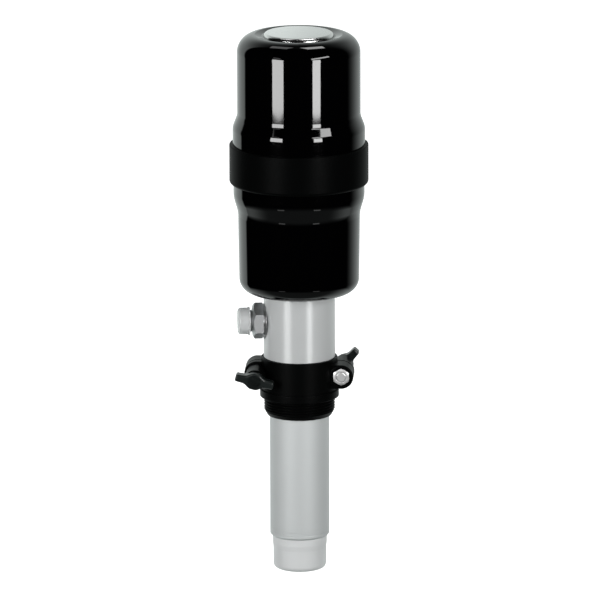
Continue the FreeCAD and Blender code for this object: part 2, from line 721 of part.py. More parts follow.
def outlet_body():
    """The wide body over the suction tube, with the outlet chamber inside."""
    seat = S.CollarHeight + S.TubeInBody
    clip = S.BodyRadius - S.CirclipDepth
    clip_low = S.LowerCoverFloor - S.CirclipThick
    body = turned("outlet_body", [
        (S.TubeRadius + S.FitGap, S.CollarHeight),
        (S.BodyRadius, S.CollarHeight),
        (S.BodyRadius, clip_low),
        (clip, clip_low),
        (clip, S.LowerCoverFloor),
        (S.BodyRadius, S.LowerCoverFloor),
        (S.BodyRadius, S.BodyTop),
        (S.ChamberRadius, S.BodyTop),
        (S.ChamberRadius, seat),
        (S.TubeRadius + S.FitGap, seat),
    ])
    face = new_sketch(body, "YZ_Plane", -S.SpotFace)
    draw_circle(face, ZERO, S.OutletHeight, S.SpotRadius)
    pocket_towards(body, face, S.BodyRadius, minus_side=True)
    hole = new_sketch(body, "YZ_Plane")
    draw_circle(hole, ZERO, S.OutletHeight, S.OutletThreadRadius + S.FitGap)
    pocket_towards(body, hole, None, minus_side=True)


# Outlet nipple, its bonded seal and both thread caps

def outlet_group():
    """Pieces turned about the outlet's axis, with Z as the way out of the pump."""
    seat = ((ZERO, ZERO, S.OutletHeight), Y_AXIS, -90)
    hex_low = S.SpotFace + S.SealThick
    hex_top = hex_low + S.OutletHexThick
    thread_low = hex_top + S.ReliefLength
    thread_end = thread_low + S.OutletThreadLength
    radius = S.OutletThreadRadius
    nipple = turned("outlet_nipple", [
        (S.OutletBore, S.OutletInner),
        (radius, S.OutletInner),
        (radius, hex_low),
        (S.ReliefRadius + S.ReliefLength, hex_low),
        (S.ReliefRadius + S.ReliefLength, hex_top),
        (S.ReliefRadius, hex_top),
        (S.ReliefRadius, thread_low),
        (radius, thread_low),
        (radius, thread_end - S.ThreadChamfer),
        (radius - S.ThreadChamfer, thread_end),
        (S.OutletBore, thread_end),
    ])
    hexagon = new_sketch(nipple, "XY_Plane", hex_low)
    draw_polygon(hexagon, [(y, x) for x, y in hexagon_points(S.OutletHexFlats)])
    draw_circle(hexagon, ZERO, ZERO, S.OutletBore)
    pad(nipple, hexagon, S.OutletHexThick)
    corner = S.OutletHexFlats / math.sqrt(3)
    groove(nipple, [
        (corner - S.HexChamfer * 2, hex_top),
        (corner + S.HexChamfer, hex_top),
        (corner + S.HexChamfer, hex_top - S.HexChamfer * 1.5),
    ])
    place(nipple, seat)
    metal = turned("outlet_seal_ring", box_points(
        S.SealRubber, S.SpotFace, S.SealRadius, hex_low))
    place(metal, seat)
    rubber = turned("outlet_seal_rubber", box_points(
        radius + S.FitGap, S.SpotFace, S.SealRubber, hex_low))
    place(rubber, seat)
    inner = radius + S.CapGap
    outer = inner + S.OutletCapWall
    cap_end = thread_end + S.OutletCapFloor
    cap = turned("outlet_cap", [
        (inner, thread_low),
        (outer + S.OutletCapWall, thread_low),
        (outer + S.OutletCapWall, thread_low + S.OutletCapLip),
        (outer, thread_low + S.OutletCapLip),
        (outer, cap_end),
        (ZERO, cap_end),
        (ZERO, thread_end + S.CapGap),
        (inner, thread_end + S.CapGap),
    ])
    round_rims(cap, [(outer, cap_end)], S.OutletCapRound)
    place(cap, seat)


def inlet_cap():
    shoulder = S.TubeBottom - S.FootShoulder
    inner = S.FootThreadRadius + S.CapGap
    outer = inner + S.InletCapWall
    floor = S.FootThreadEnd - S.CapGap
    end = floor - S.InletCapFloor
    lip_end = shoulder - S.InletCapLipLength
    cap = turned("inlet_cap", [
        (ZERO, end),
        (outer, end),
        (outer, lip_end - S.InletCapLip),
        (outer + S.InletCapLip, lip_end),
        (outer + S.InletCapLip, shoulder - S.CapGap),
        (inner, shoulder - S.CapGap),
        (inner, floor),
        (ZERO, floor),
    ])
    round_rims(cap, [(outer, end)], S.InletCapRound)


# Drive rod, pump piston and air piston, at the bottom of the stroke

def drive_rod():
    base_top = S.BodyTop + S.BaseThick
    piston_low = base_top + S.PistonRise
    spigot_top = piston_low + S.PistonThick + S.PistonNutThick
    centre = ball_height(S.RodBottom, S.PistonSeatBore, S.PistonBallRadius)
    pin = stop_pin_height(centre, S.PistonBallRadius, S.PistonBallLift)
    cage_top = pin + S.StopPinRadius * 2
    rod = turned("piston_rod", [
        (S.RodCage, S.RodBottom),
        (S.RodRadius, S.RodBottom),
        (S.RodRadius, piston_low),
        (S.SpigotRadius, piston_low),
        (S.SpigotRadius, spigot_top),
        (S.TripBore, spigot_top),
        (S.TripBore, S.TripBoreBottom),
        (ZERO, S.TripBoreBottom),
        (ZERO, cage_top),
        (S.RodCage, cage_top),
    ])
    for role in ("XZ_Plane", "YZ_Plane"):
        cross_hole(rod, role, S.RodBottom + S.RodPortRise, S.RodPortRadius)
    cross_hole(rod, "YZ_Plane", pin, S.StopPinRadius)
    ball_valve("piston_ball", "piston_seat", "piston_ball_stop", S.RodBottom - S.SeatHeight,
               S.PistonSeatBore, S.RodRadius, S.PistonBallRadius, S.PistonBallLift, S.RodRadius)


def pump_piston():
    seat_low = S.RodBottom - S.SeatHeight
    low = seat_low - S.PumpPistonBelow
    top = S.RodBottom + S.PumpPistonAbove
    outer = S.TubeBore - S.PumpPistonGap
    seal_low = low + S.PumpSealEdge
    seal_top = top - S.PumpSealEdge
    inner = outer - S.PumpSealDepth
    bore = S.RodRadius + S.FitGap
    turned("pump_piston", [
        (S.FootNeck, low),
        (outer, low),
        (outer, seal_low),
        (inner, seal_low),
        (inner, seal_top),
        (outer, seal_top),
        (outer, top),
        (bore, top),
        (bore, seat_low),
        (S.FootNeck, seat_low),
    ])
    turned("pump_piston_seal", box_points(inner, seal_low, S.TubeBore - S.RunGap, seal_top))


def air_piston():
    low = S.BodyTop + S.BaseThick + S.PistonRise
    top = low + S.PistonThick
    outer = S.CylinderBore - S.PistonGap
    middle = low + S.PistonThick / 2
    outline = [(S.SpigotRadius, low), (outer, low)]
    outline += seal_groove(outer, middle, S.PistonSealThick, S.PistonSealDepth)
    outline += [(outer, top), (S.SpigotRadius, top)]
    turned("air_piston", outline)
    turned("air_piston_seal", box_points(
        outer - S.PistonSealDepth, middle - S.PistonSealThick / 2,
        S.CylinderBore - S.RunGap, middle + S.PistonSealThick / 2))
    nut = new_body("air_piston_nut")
    sketch = new_sketch(nut, "XY_Plane", top)
    draw_polygon(sketch, hexagon_points(S.PistonNutFlats))
    draw_circle(sketch, ZERO, ZERO, S.SpigotRadius)
    pad(nut, sketch, S.PistonNutThick)
    nut_top = top + S.PistonNutThick
    turned("trip_plate", box_points(
        S.TripRodRadius + S.TripHoleGap, nut_top,
        S.TripPlateRadius, nut_top + S.TripPlateThick))


# Air motor's fixed parts

def motor_base():
    low = S.BodyTop - S.BaseBoss
    top = S.BodyTop + S.BaseThick
    boss = S.ChamberRadius - S.FitGap
    gland_top = S.BodyTop
    seal_top = top - S.AirSealBelow
    seal_low = seal_top - S.AirSealThick
    seat = top - S.CylinderSeat - S.GasketThick
    inner = S.CylinderBore
    outer = S.CylinderBore + S.CylinderWall
    ring = S.BodyTop - S.TubeRingDrop
    outline = [(S.GlandRadius, low), (boss, low)]
    outline += seal_groove(boss, ring, S.RingWidth, S.RingDepth)
    outline += [
        (boss, S.BodyTop),
        (S.BaseRadius, S.BodyTop),
        (S.BaseRadius, top),
        (outer + S.FitGap, top),
        (outer + S.FitGap, seat),
        (inner, seat),
        (inner, top),
        (S.BaseBore, top),
        (S.BaseBore, seal_top),
        (S.AirSealRadius, seal_top),
        (S.AirSealRadius, seal_low),
        (S.BaseBore, seal_low),
        (S.BaseBore, gland_top),
        (S.GlandRadius, gland_top),
    ]
    base = turned("motor_base", outline)
    hole = new_sketch(base, "XY_Plane", S.BodyTop)
    angle = math.radians(45)
    draw_circle(hole, S.TieReach * math.cos(angle), S.TieReach * math.sin(angle),
                S.TieRadius + S.FitGap)
    ring_of(base, pocket(base, hole), 4)
    seal_ring("base_ring", boss, ring)
    rod = S.RodRadius + S.RunGap
    turned("rod_air_seal", box_points(rod, seal_low, S.AirSealRadius, seal_top))
    turned("gland_packing", box_points(rod, low + S.GlandNutThick, S.GlandRadius, gland_top))
    turned("gland_nut", box_points(S.BaseBore, low, S.GlandRadius, low + S.GlandNutThick))
    cylinder_low = seat + S.GasketThick
    cylinder_top = cylinder_low + S.CylinderLength
    turned("motor_cylinder", box_points(inner, cylinder_low, outer, cylinder_top))
    turned("lower_gasket", box_points(inner, seat, outer, cylinder_low))
    turned("upper_gasket", box_points(
        inner, cylinder_top, outer, cylinder_top + S.GasketThick))


def tie_bolts():
    body = new_body("tie_bolts")
    sketch = new_sketch(body, "XY_Plane", S.BodyTop - S.TieHeadThick)
    angle = math.radians(45)
    place_x = S.TieReach * math.cos(angle)
    place_y = S.TieReach * math.sin(angle)
    draw_circle(sketch, place_x, place_y, S.TieHeadRadius)
    head = pad(body, sketch, S.TieHeadThick)
    shank = new_sketch(body, "XY_Plane", S.BodyTop)
    draw_circle(shank, place_x, place_y, S.TieRadius)
    rod = pad(body, shank, S.HeadPlate + S.TieInHead - S.BodyTop)
    doc.recompute()
    pattern = ring_of(body, head, 4)
    pattern.Originals = [head, rod]


def motor_head():
    """The head of the air cylinder; its rim is the band between the covers."""
    skirt = S.LowerCoverRim + S.CoverGap
    inner = S.CylinderBore
    outer = S.CylinderBore + S.CylinderWall
    seat = S.HeadPlate + S.CylinderSeat + S.GasketThick
    ring_outer = S.UpperCoverMouth - S.CoverWall - S.CoverGap
    head = turned("motor_head", [
        (skirt, S.HeadBottom),
        (S.HeadRadius, S.HeadBottom),
        (S.HeadRadius, S.HeadTop),
        (ring_outer, S.HeadTop),
        (ring_outer, S.HeadTop + S.SpigotRing),
        (ring_outer - S.SpigotRingWall, S.HeadTop + S.SpigotRing),
        (ring_outer - S.SpigotRingWall, S.HeadTop),
        (S.HeadBore, S.HeadTop),
        (S.HeadBore, S.HeadPlate + S.HeadRecessDepth),
        (S.HeadRecess, S.HeadPlate + S.HeadRecessDepth),
        (S.HeadRecess, S.HeadPlate),
        (inner, S.HeadPlate),
        (inner, seat),
        (outer + S.FitGap, seat),
        (outer + S.FitGap, S.HeadPlate),
        (skirt, S.HeadPlate),
    ])
    round_rims(head, [(S.HeadRadius, S.HeadBottom)], S.HeadRoundLow)
    round_rims(head, [(S.HeadRadius, S.HeadTop)], S.HeadRoundTop)
    middle = (S.HeadPlate + S.HeadTop) / 2
    inlet_face = S.HeadRadius - S.AirInletSink
    cuts = (
        (inlet_face, S.AirInletSpot),
        (inlet_face - S.AirInletDepth, S.AirInletRadius),
        (ZERO, S.AirPassage),
    )
    for start, radius in cuts:
        sketch = new_sketch(head, "XZ_Plane", -start)
        draw_circle(sketch, ZERO, middle, radius)
        pocket_towards(head, sketch, None, minus_side=True)
    for low, reach, depth, first in (
            (S.HeadPlate, S.TieReach, S.TieInHead, 45),
            (S.HeadTop - S.ValveScrewDepth, S.ValveScrewReach, S.ValveScrewDepth, 45)):
        hole = new_sketch(head, "XY_Plane", low)
        angle = math.radians(first)
        draw_circle(hole, reach * math.cos(angle), reach * math.sin(angle), S.TieRadius)
        cut = pocket_towards(head, hole, depth, minus_side=False)
        ring_of(head, cut, 4)


# Covers

def lower_cover():
    wall = S.CoverWall
    floor = S.LowerCoverFloor
    body = turned("lower_cover", [
        (S.LowerCoverHole, floor),
        (S.LowerCoverBase, floor),
        (S.LowerCoverWaist, S.LowerFlareStart),
        (S.LowerCoverRim, S.LowerFlareEnd),
        (S.LowerCoverRim, S.HeadPlate),
        (S.LowerCoverRim - wall, S.HeadPlate),
        (S.LowerCoverRim - wall, S.LowerFlareEnd),
        (S.LowerCoverWaist - wall, S.LowerFlareStart),
        (S.LowerCoverBase - wall, floor + wall),
        (S.LowerCoverHole, floor + wall),
    ])
    round_rims(body, [(S.LowerCoverBase, floor)], S.LowerCoverRound)
    round_rims(body, [(S.LowerCoverBase - wall, floor + wall)], S.LowerCoverRound - wall)
    round_rims(body, [
        (S.LowerCoverWaist, S.LowerFlareStart), (S.LowerCoverRim, S.LowerFlareEnd),
        (S.LowerCoverWaist - wall, S.LowerFlareStart),
        (S.LowerCoverRim - wall, S.LowerFlareEnd),
    ], S.LowerFlareRound)
    clip_low = floor - S.CirclipThick
    turned("cover_circlip", box_points(
        S.BodyRadius - S.CirclipDepth, clip_low, S.CirclipRadius, floor),
        as_term(360) - S.CirclipGap)


def upper_cover():
    """The bell over the valve; its crown is dished for the clamping disc."""
    wall = S.CoverWall
    crest = S.UpperCoverTop
    crest_radius = S.UpperCoverRadius - S.UpperCoverRound
    disc_radius = crest_radius - S.DipWidth - S.DishFlat
    dish = crest - S.DipDepth
    seat = crest - S.DiscSink
    body = turned("upper_cover", [
        (S.UpperCoverMouth - wall, S.HeadTop),
        (S.UpperCoverMouth, S.HeadTop),
        (S.UpperCoverMouth, S.UpperFlareStart),
        (S.UpperCoverRadius, S.UpperFlareEnd),
        (S.UpperCoverRadius, crest),
        (crest_radius, crest),
        (crest_radius - S.DipWidth, dish),
        (disc_radius + S.CoverGap, dish),
        (disc_radius + S.CoverGap, seat),
        (S.CoverStudRadius + S.FitGap, seat),
        (S.CoverStudRadius + S.FitGap, seat - wall),
        (crest_radius, seat - wall),
        (S.UpperCoverRadius - wall, seat - wall),
        (S.UpperCoverRadius - wall, S.UpperFlareEnd),
        (S.UpperCoverMouth - wall, S.UpperFlareStart),
    ])
    round_rims(body, [(S.UpperCoverRadius, crest)], S.UpperCoverRound - 0.01)
    round_rims(body, [(S.UpperCoverRadius - wall, seat - wall)], S.UpperCoverRound - wall)
    round_rims(body, [
        (S.UpperCoverMouth, S.UpperFlareStart), (S.UpperCoverRadius, S.UpperFlareEnd),
        (S.UpperCoverMouth - wall, S.UpperFlareStart),
        (S.UpperCoverRadius - wall, S.UpperFlareEnd),
    ], S.UpperFlareRound)
    disc_top = crest + S.DiscProud
    stud_top = seat + S.CoverStudInDisc
    disc = turned("cover_disc", [
        (S.CoverStudRadius, seat),
        (disc_radius, seat),
        (disc_radius, disc_top),
        (ZERO, disc_top),
        (ZERO, stud_top),
        (S.CoverStudRadius, stud_top),
    ])
    round_rims(disc, [(disc_radius, disc_top)], S.DiscRound)
    cap_low = S.HeadTop + S.ValveBlockHeight + S.PlateThick
    turned("cover_stud", box_points(ZERO, cap_low + S.FitGap, S.CoverStudRadius, stud_top))


# Air valve over the head

def valve_group():
    low = S.HeadTop
    top = low + S.ValveBlockHeight
    flange = low + S.ValveFlangeThick
    sleeve_top = flange + S.SleeveLength
    block = turned("valve_block", [
        (S.HeadBore, low),
        (S.ValveFlangeRadius, low),
        (S.ValveFlangeRadius, flange),
        (S.ValveBlockRadius, flange),
        (S.ValveBlockRadius, top),
        (S.SleeveRadius, top),
        (S.SleeveRadius, flange),
        (S.HeadBore, flange),
    ])
    angle = math.radians(45)
    place_x = S.ValveScrewReach * math.cos(angle)
    place_y = S.ValveScrewReach * math.sin(angle)
    hole = new_sketch(block, "XY_Plane", low)
    draw_circle(hole, place_x, place_y, S.TieRadius + S.FitGap)
    ring_of(block, pocket_towards(block, hole, S.ValveFlangeThick, minus_side=False), 4)
    screws = new_body("valve_screws")
    head_sketch = new_sketch(screws, "XY_Plane", flange)
    draw_circle(head_sketch, place_x, place_y, S.TieHeadRadius)
    head = pad(screws, head_sketch, S.TieHeadThick)
    shank_sketch = new_sketch(screws, "XY_Plane", low - S.ValveScrewDepth)
    draw_circle(shank_sketch, place_x, place_y, S.TieRadius)
    shank = pad(screws, shank_sketch, S.ValveScrewDepth + S.ValveFlangeThick)
    doc.recompute()
    ring = ring_of(screws, head, 4)
    ring.Originals = [head, shank]
    sleeve = turned("valve_sleeve", box_points(
        S.SleeveBore, flange, S.SleeveRadius, sleeve_top))
    for share in (1, 2, 3):
        cross_hole(sleeve, "YZ_Plane", flange + S.SleeveLength * share / 4, S.SleevePortRadius)
    turned("silencer_plate", box_points(
        S.SleeveRadius, top, S.UpperCoverRadius - S.CoverWall - S.FoamGap, top + S.PlateThick))
    cap_low = top + S.PlateThick
    cap_top = cap_low + S.ValveCapThick
    turned("valve_cap", [
        (ZERO, cap_low - S.PlateThick),
        (S.SleeveRadius - S.FitGap, cap_low - S.PlateThick),
        (S.SleeveRadius - S.FitGap, cap_low),
        (S.ValveBlockRadius, cap_low),
        (S.ValveBlockRadius, cap_top),
        (S.CoverStudRadius, cap_top),
        (S.CoverStudRadius, cap_low + S.FitGap),
        (ZERO, cap_low + S.FitGap),
    ])
    turned("silencer_foam", box_points(
        S.FoamBore, low, S.UpperCoverRadius - S.CoverWall - S.FoamGap, top))


def trip_gear():
    """Spool and trip rod, shifted down; the drive rod's plate moves them at stroke ends."""
    piston_top = S.BodyTop + S.BaseThick + S.PistonRise + S.PistonThick
    plate_low = piston_top + S.PistonNutThick
    plate_top = plate_low + S.TripPlateThick
    stop_top = plate_low - S.BumperGap - S.BumperLength
    stop_low = stop_top - S.TripStopThick
    collar_low = plate_top + S.Stroke + S.BumperGap + S.BumperLength
    collar_top = collar_low + S.TripPlateThick
    spool_low = S.HeadTop + S.ValveFlangeThick + S.SpoolRise
    spool_top = spool_low + S.SpoolLength
    rod_top = spool_top + S.TripNutThick
    turned("trip_rod", box_points(ZERO, stop_low, S.TripRodRadius, rod_top))
    turned("trip_stop", box_points(S.TripRodRadius, stop_low, S.TripStopRadius, stop_top))
    turned("lower_bumper", box_points(
        S.TripRodRadius, stop_top, S.BumperRadius, stop_top + S.BumperLength))
    turned("upper_bumper", box_points(
        S.TripRodRadius, collar_low - S.BumperLength, S.BumperRadius, collar_low))
    turned("trip_collar", box_points(
        S.TripRodRadius, collar_low, S.TripStopRadius, collar_top))
    land = S.SleeveBore - S.SpoolGap
    turned("spool", [
        (S.TripRodRadius, spool_low),
        (land, spool_low),
        (land, spool_low + S.SpoolLand),
        (S.SpoolWaist, spool_low + S.SpoolLand),
        (S.SpoolWaist, spool_top - S.SpoolLand),
        (land, spool_top - S.SpoolLand),
        (land, spool_top),
        (S.TripRodRadius, spool_top),
    ])
    turned("spool_nut", box_points(
        S.TripRodRadius, spool_top, S.TripStopRadius, spool_top + S.TripNutThick))


# Build

clamp_half("bung_front_half", 0)
clamp_half("bung_rear_half", 180)
clamp_nuts()
wing_screw("left", 0, S.LeftKnobTurn)
wing_screw("right", 180, -S.RightKnobTurn)
suction_tube()
foot_valve()
outlet_body()
outlet_group()
inlet_cap()
drive_rod()
pump_piston()
air_piston()
motor_base()
tie_bolts()
motor_head()
lower_cover()
upper_cover()
valve_group()
trip_gear()
doc.recompute()


def finished_pieces():
    """Every body and ball of the pump, checked to be sound."""
    pieces = []
    for item in doc.Objects:
        if "Invalid" in item.State or "Error" in item.State:
            raise RuntimeError(f"{item.Label} could not be made: {item.State}")
        if item.TypeId in ("PartDesign::Body", "Part::Sphere"):
            if item.Shape.isNull() or not item.Shape.isValid():
                raise RuntimeError(f"{item.Label} has no sound shape")
            pieces.append(item)
    return pieces


for piece in finished_pieces():
    piece.Shape.exportStep(f"parts/{piece.Label}.step")
    print(piece.Label, len(piece.Shape.Solids), round(piece.Shape.Volume, 1))
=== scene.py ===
"""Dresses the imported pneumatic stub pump: fine covers, body, clamp, threads and caps."""

import json
import math

import bmesh
import bpy
from mathutils import Matrix, Vector


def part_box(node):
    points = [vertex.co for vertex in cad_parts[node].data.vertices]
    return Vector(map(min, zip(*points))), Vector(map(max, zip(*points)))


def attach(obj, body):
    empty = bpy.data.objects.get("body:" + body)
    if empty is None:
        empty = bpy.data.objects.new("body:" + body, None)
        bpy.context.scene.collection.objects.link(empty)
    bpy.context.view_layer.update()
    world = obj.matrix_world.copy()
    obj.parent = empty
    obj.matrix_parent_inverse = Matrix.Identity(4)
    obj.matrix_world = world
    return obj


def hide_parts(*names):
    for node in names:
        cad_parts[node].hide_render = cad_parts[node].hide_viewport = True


bl_info = {
    "name": "Pneumatic stub pump",
    "version": (1, 0, 0),
    "blender": (4, 5, 0),
    "location": "View3D > Sidebar > Pump",
    "description": "Dresses the pump's frame with its fine covers, body, clamp, threads and caps",
    "category": "Object",
}

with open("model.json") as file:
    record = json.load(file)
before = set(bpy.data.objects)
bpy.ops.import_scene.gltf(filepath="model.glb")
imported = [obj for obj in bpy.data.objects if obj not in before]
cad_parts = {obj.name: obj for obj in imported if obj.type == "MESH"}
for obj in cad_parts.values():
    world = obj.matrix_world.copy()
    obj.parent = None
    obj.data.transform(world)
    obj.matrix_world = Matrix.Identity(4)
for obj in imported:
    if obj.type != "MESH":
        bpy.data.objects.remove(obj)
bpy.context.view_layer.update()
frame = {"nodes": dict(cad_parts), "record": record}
MM = 0.001
SMOOTH_ANGLE = math.radians(32)
CLAMP_TURN = math.radians(-8)

# Tolerances in metres: points nearer than this are one
MERGE, THREAD_MERGE, FRAME_MERGE = 1e-7, 1e-6, 2e-6
PICK_REACH = 2e-7

# Heights on the pump's axis in mm
COVER_FOOT, COVER_CROWN = 216.4, 309.5
DISC_SEAT, DISC_TOP = 306.6, 311.6
LOWER_FLOOR, HEAD_WRAP = 89.7, 194.0
BODY_FOOT, TUBE_TOP = 33.8, 50.0
TUBE_FOOT, FOOT_SHOULDER = -114.0, -120.6

# Distances along the outlet's axis in mm, and its height
OUTLET_HEIGHT = 65.0
SPOT_FACE, HEXAGON_FACE, HEXAGON_END = 28.5, 31.0, 39.3
NIPPLE_THREAD, NIPPLE_END = 41.8, 50.4

# Depths of the three threads in mm
WIDE_DEPTH, NARROW_DEPTH, SCREW_DEPTH = 1.479, 1.162, 0.70


# Settings that a user would change

def length(name, description, millimetres):
    return bpy.props.FloatProperty(
        name=name, description=description, default=millimetres * MM, min=0.0,
        subtype="DISTANCE", unit="LENGTH", precision=5)


def colour(name, description, value):
    return bpy.props.FloatVectorProperty(
        name=name, description=description, default=value, size=3,
        min=0.0, max=1.0, subtype="COLOR")


class PumpSizes(bpy.types.PropertyGroup):
    """Sizes of the dressed pieces, in the frame's metres."""

    cover_wall: length("Cover wall", "Wall of both bell covers", 2.6)
    lower_radius: length("Lower cover", "Lower cover at its waist, as radius", 51.1)
    lower_rim: length("Lower rim", "Lower cover at its rim, as radius", 54.9)
    upper_radius: length("Upper cover", "Upper cover's wall, as radius", 51.6)
    upper_mouth: length("Upper mouth", "Upper cover at its mouth, as radius", 55.4)
    flare_round: length("Flare round", "Rounding where a cover flares", 24.0)
    disc_radius: length("Cover disc", "Disc that clamps the upper cover", 29.5)
    body_radius: length("Outlet body", "Outlet body outside, as radius", 30.0)
    tube_radius: length("Suction tube", "Suction tube outside, as radius", 25.0)
    bung_thread: length("Bung thread", "Half the major diameter of the bung's thread", 29.807)
    foot_thread: length("Suction thread", "Half the major diameter at the foot", 20.955)
    outlet_thread: length("Outlet thread", "Half the nipple's major diameter", 10.4775)
    wide_pitch: length("Wide pitch", "Pitch of the bung's and the foot's pipe threads", 2.309)
    narrow_pitch: length("Narrow pitch", "Pitch of the outlet's pipe thread", 1.814)
    screw_pitch: length("Screw pitch", "Pitch of the clamp screws", 1.25)


class PumpColours(bpy.types.PropertyGroup):
    """Base colours of the finishes."""

    cover_gloss: colour("Covers", "Gloss black moulded covers", (0.0004, 0.0004, 0.0005))
    band_black: colour("Motor head", "Matt black head", (0.001, 0.0012, 0.0012))
    clamp_plastic: colour("Bung adapter", "Moulded bung adapter", (0.0012, 0.0014, 0.0014))
    knob_plastic: colour("Wing knobs", "Moulded knobs", (0.006, 0.009, 0.0085))
    tube_satin: colour("Tube", "Satin suction tube", (0.61, 0.635, 0.635))
    body_satin: colour("Outlet body", "Fine turned outlet body", (0.53, 0.545, 0.545))
    disc_satin: colour("Cover disc", "Fine turned disc", (0.66, 0.66, 0.655))
    bright_zinc: colour("Fasteners", "Plated nuts, washers and studs", (0.88, 0.88, 0.88))
    nipple_steel: colour("Nipple", "Outlet nipple", (0.66, 0.67, 0.68))
    seal_steel: colour("Seal and circlip", "Spring and seal steel", (0.60, 0.60, 0.61))
    cap_milky: colour("Thread caps", "Milky caps", (0.86, 0.88, 0.88))
    rubber_black: colour("Rubber", "Seals and bumpers", (0.015, 0.015, 0.015))
    inner_aluminium: colour("Inner aluminium", "Pieces inside the motor", (0.60, 0.61, 0.62))
    inner_steel: colour("Inner steel", "Rods and screws inside", (0.45, 0.46, 0.47))
    ball_chrome: colour("Balls", "Valve balls", (0.68, 0.68, 0.70))
    bronze: colour("Bronze", "Bushes and sleeves", (0.48, 0.30, 0.14))
    seal_plastic: colour("Seal plastic", "Sliding seals", (0.72, 0.72, 0.68))
    foam: colour("Silencer foam", "Open foam", (0.10, 0.10, 0.11))


# Modelling: points, outlines, turned pieces, threads and cuts

def deselect():
    """Leaves edit mode with nothing selected."""
    if bpy.context.object and bpy.context.object.mode != "OBJECT":
        bpy.ops.object.mode_set(mode="OBJECT")
    bpy.ops.object.select_all(action="DESELECT")


def choose(*pieces):
    """Selects the pieces, the last one active."""
    deselect()
    for piece in pieces:
        piece.select_set(True)
    bpy.context.view_layer.objects.active = pieces[-1]


def start_point(name, place):
    """A piece of one point, open in edit mode."""
    deselect()
    bpy.ops.mesh.primitive_plane_add(size=MM, location=place)
    piece = bpy.context.object
    piece.name = name
    bpy.ops.object.transform_apply(location=True, rotation=True, scale=True)
    bpy.ops.object.mode_set(mode="EDIT")
    bpy.ops.mesh.select_all(action="SELECT")
    bpy.ops.mesh.merge(type="CENTER")
    return piece


def draw(points):
    """Draws the line through the points, one after the other."""
    for start, end in zip(points, points[1:]):
        step = tuple(b - a for a, b in zip(start, end))
        bpy.ops.mesh.extrude_vertices_move(TRANSFORM_OT_translate={"value": step})


def pick(piece, test):
    """Selects the points that pass the test, and fails where there are none."""
    bpy.ops.mesh.select_mode(type="VERT")
    bpy.ops.mesh.select_all(action="DESELECT")
    mesh = bmesh.from_edit_mesh(piece.data)
    found = 0
    for point in mesh.verts:
        if test(point.co):
            point.select = True
            found += 1
    mesh.select_flush(True)
    bmesh.update_edit_mesh(piece.data)
    if not found:
        raise RuntimeError(f"{piece.name}: no point was picked")


def near(place, reach=PICK_REACH):
    """A test for points that lie at the place."""
    target = Vector(place)
    return lambda co: (co - target).length < reach


def close_ends(piece, first, last):
    """Joins the first and the last point of a drawn line."""
    pick(piece, lambda co: near(first)(co) or near(last)(co))
    bpy.ops.mesh.edge_face_add()


def round_corner(piece, points, index, radius, segments):
    """Turns one drawn corner into an arc of that radius."""
    corner = Vector(points[index])
    before = (Vector(points[index - 1]) - corner).normalized()
    after = (Vector(points[(index + 1) % len(points)]) - corner).normalized()
    turn = math.pi - before.angle(after)
    pick(piece, near(corner))
    bpy.ops.mesh.bevel(offset=radius * math.tan(turn / 2), offset_type="OFFSET",
                       segments=segments, affect="VERTICES", clamp_overlap=True)


def tidy_shell():
    """Merges the seams, drops loose points, turns the faces outward and leaves edit mode."""
    bpy.ops.mesh.select_all(action="SELECT")
    bpy.ops.mesh.remove_doubles(threshold=MERGE)
    bpy.ops.mesh.delete_loose(use_verts=True, use_edges=True, use_faces=False)
    bpy.ops.mesh.select_all(action="SELECT")
    bpy.ops.mesh.normals_make_consistent(inside=False)
    bpy.ops.object.mode_set(mode="OBJECT")


def turned(name, outline, rounds=(), steps=144):
    """A turned piece from (radius, height) points in mm; rounds are (index, radius, segments)."""
    points = [(radius * MM, 0.0, height * MM) for radius, height in outline]
    piece = start_point(name, points[0])
    draw(points)
    if outline[0][0] > 0 or outline[-1][0] > 0:
        close_ends(piece, points[0], points[-1])
    for index, radius, segments in rounds:
        round_corner(piece, points, index, radius * MM, segments)
    bpy.ops.mesh.select_all(action="SELECT")
    bpy.ops.mesh.spin(steps=steps, angle=math.tau, center=(0, 0, 0), axis=(0, 0, 1))
    tidy_shell()
    return piece


def prism(name, outline, low, high):
    """An outline in mm drawn flat and extruded from low to high."""
    points = [(x * MM, y * MM, low * MM) for x, y in outline]
    piece = start_point(name, points[0])
    draw(points)
    close_ends(piece, points[0], points[-1])
    bpy.ops.mesh.select_all(action="SELECT")
    bpy.ops.mesh.edge_face_add()
    bpy.ops.mesh.extrude_region_move(
        TRANSFORM_OT_translate={"value": (0, 0, (high - low) * MM)})
    tidy_shell()
    return piece


def hexagon(flats):
    """Corners of a hexagon with two of them on the second axis."""
    corner = flats / math.sqrt(3)
    angles = [math.radians(30 + 60 * n) for n in range(6)]
    return [(corner * math.cos(angle), corner * math.sin(angle)) for angle in angles]


def combine(piece, tool, operation):
    """Cuts, adds or keeps by a tool piece, which is used up."""
    choose(piece)
    cut = piece.modifiers.new("Cut", "BOOLEAN")
    cut.operation = operation
    cut.solver = "EXACT"
    cut.object = tool
    bpy.ops.object.modifier_apply(modifier=cut.name)
    choose(tool)
    bpy.ops.object.delete()
    if not piece.data.polygons:
        raise RuntimeError(f"{piece.name}: nothing is left after {operation}")
    return piece


def join(piece, *others):
    """Makes the others part of the piece."""
    choose(*others, piece)
    bpy.ops.object.join()
    return piece


def move(piece, matrix):
    """Sets a piece in place, with its place kept in its mesh."""
    choose(piece)
    piece.matrix_world = matrix @ piece.matrix_world
    bpy.ops.object.transform_apply(location=True, rotation=True, scale=True)
    return piece


def copy_of(piece, name):
    """A second piece of the same shape."""
    choose(piece)
    bpy.ops.object.duplicate()
    twin = bpy.context.object
    twin.name = name
    return twin


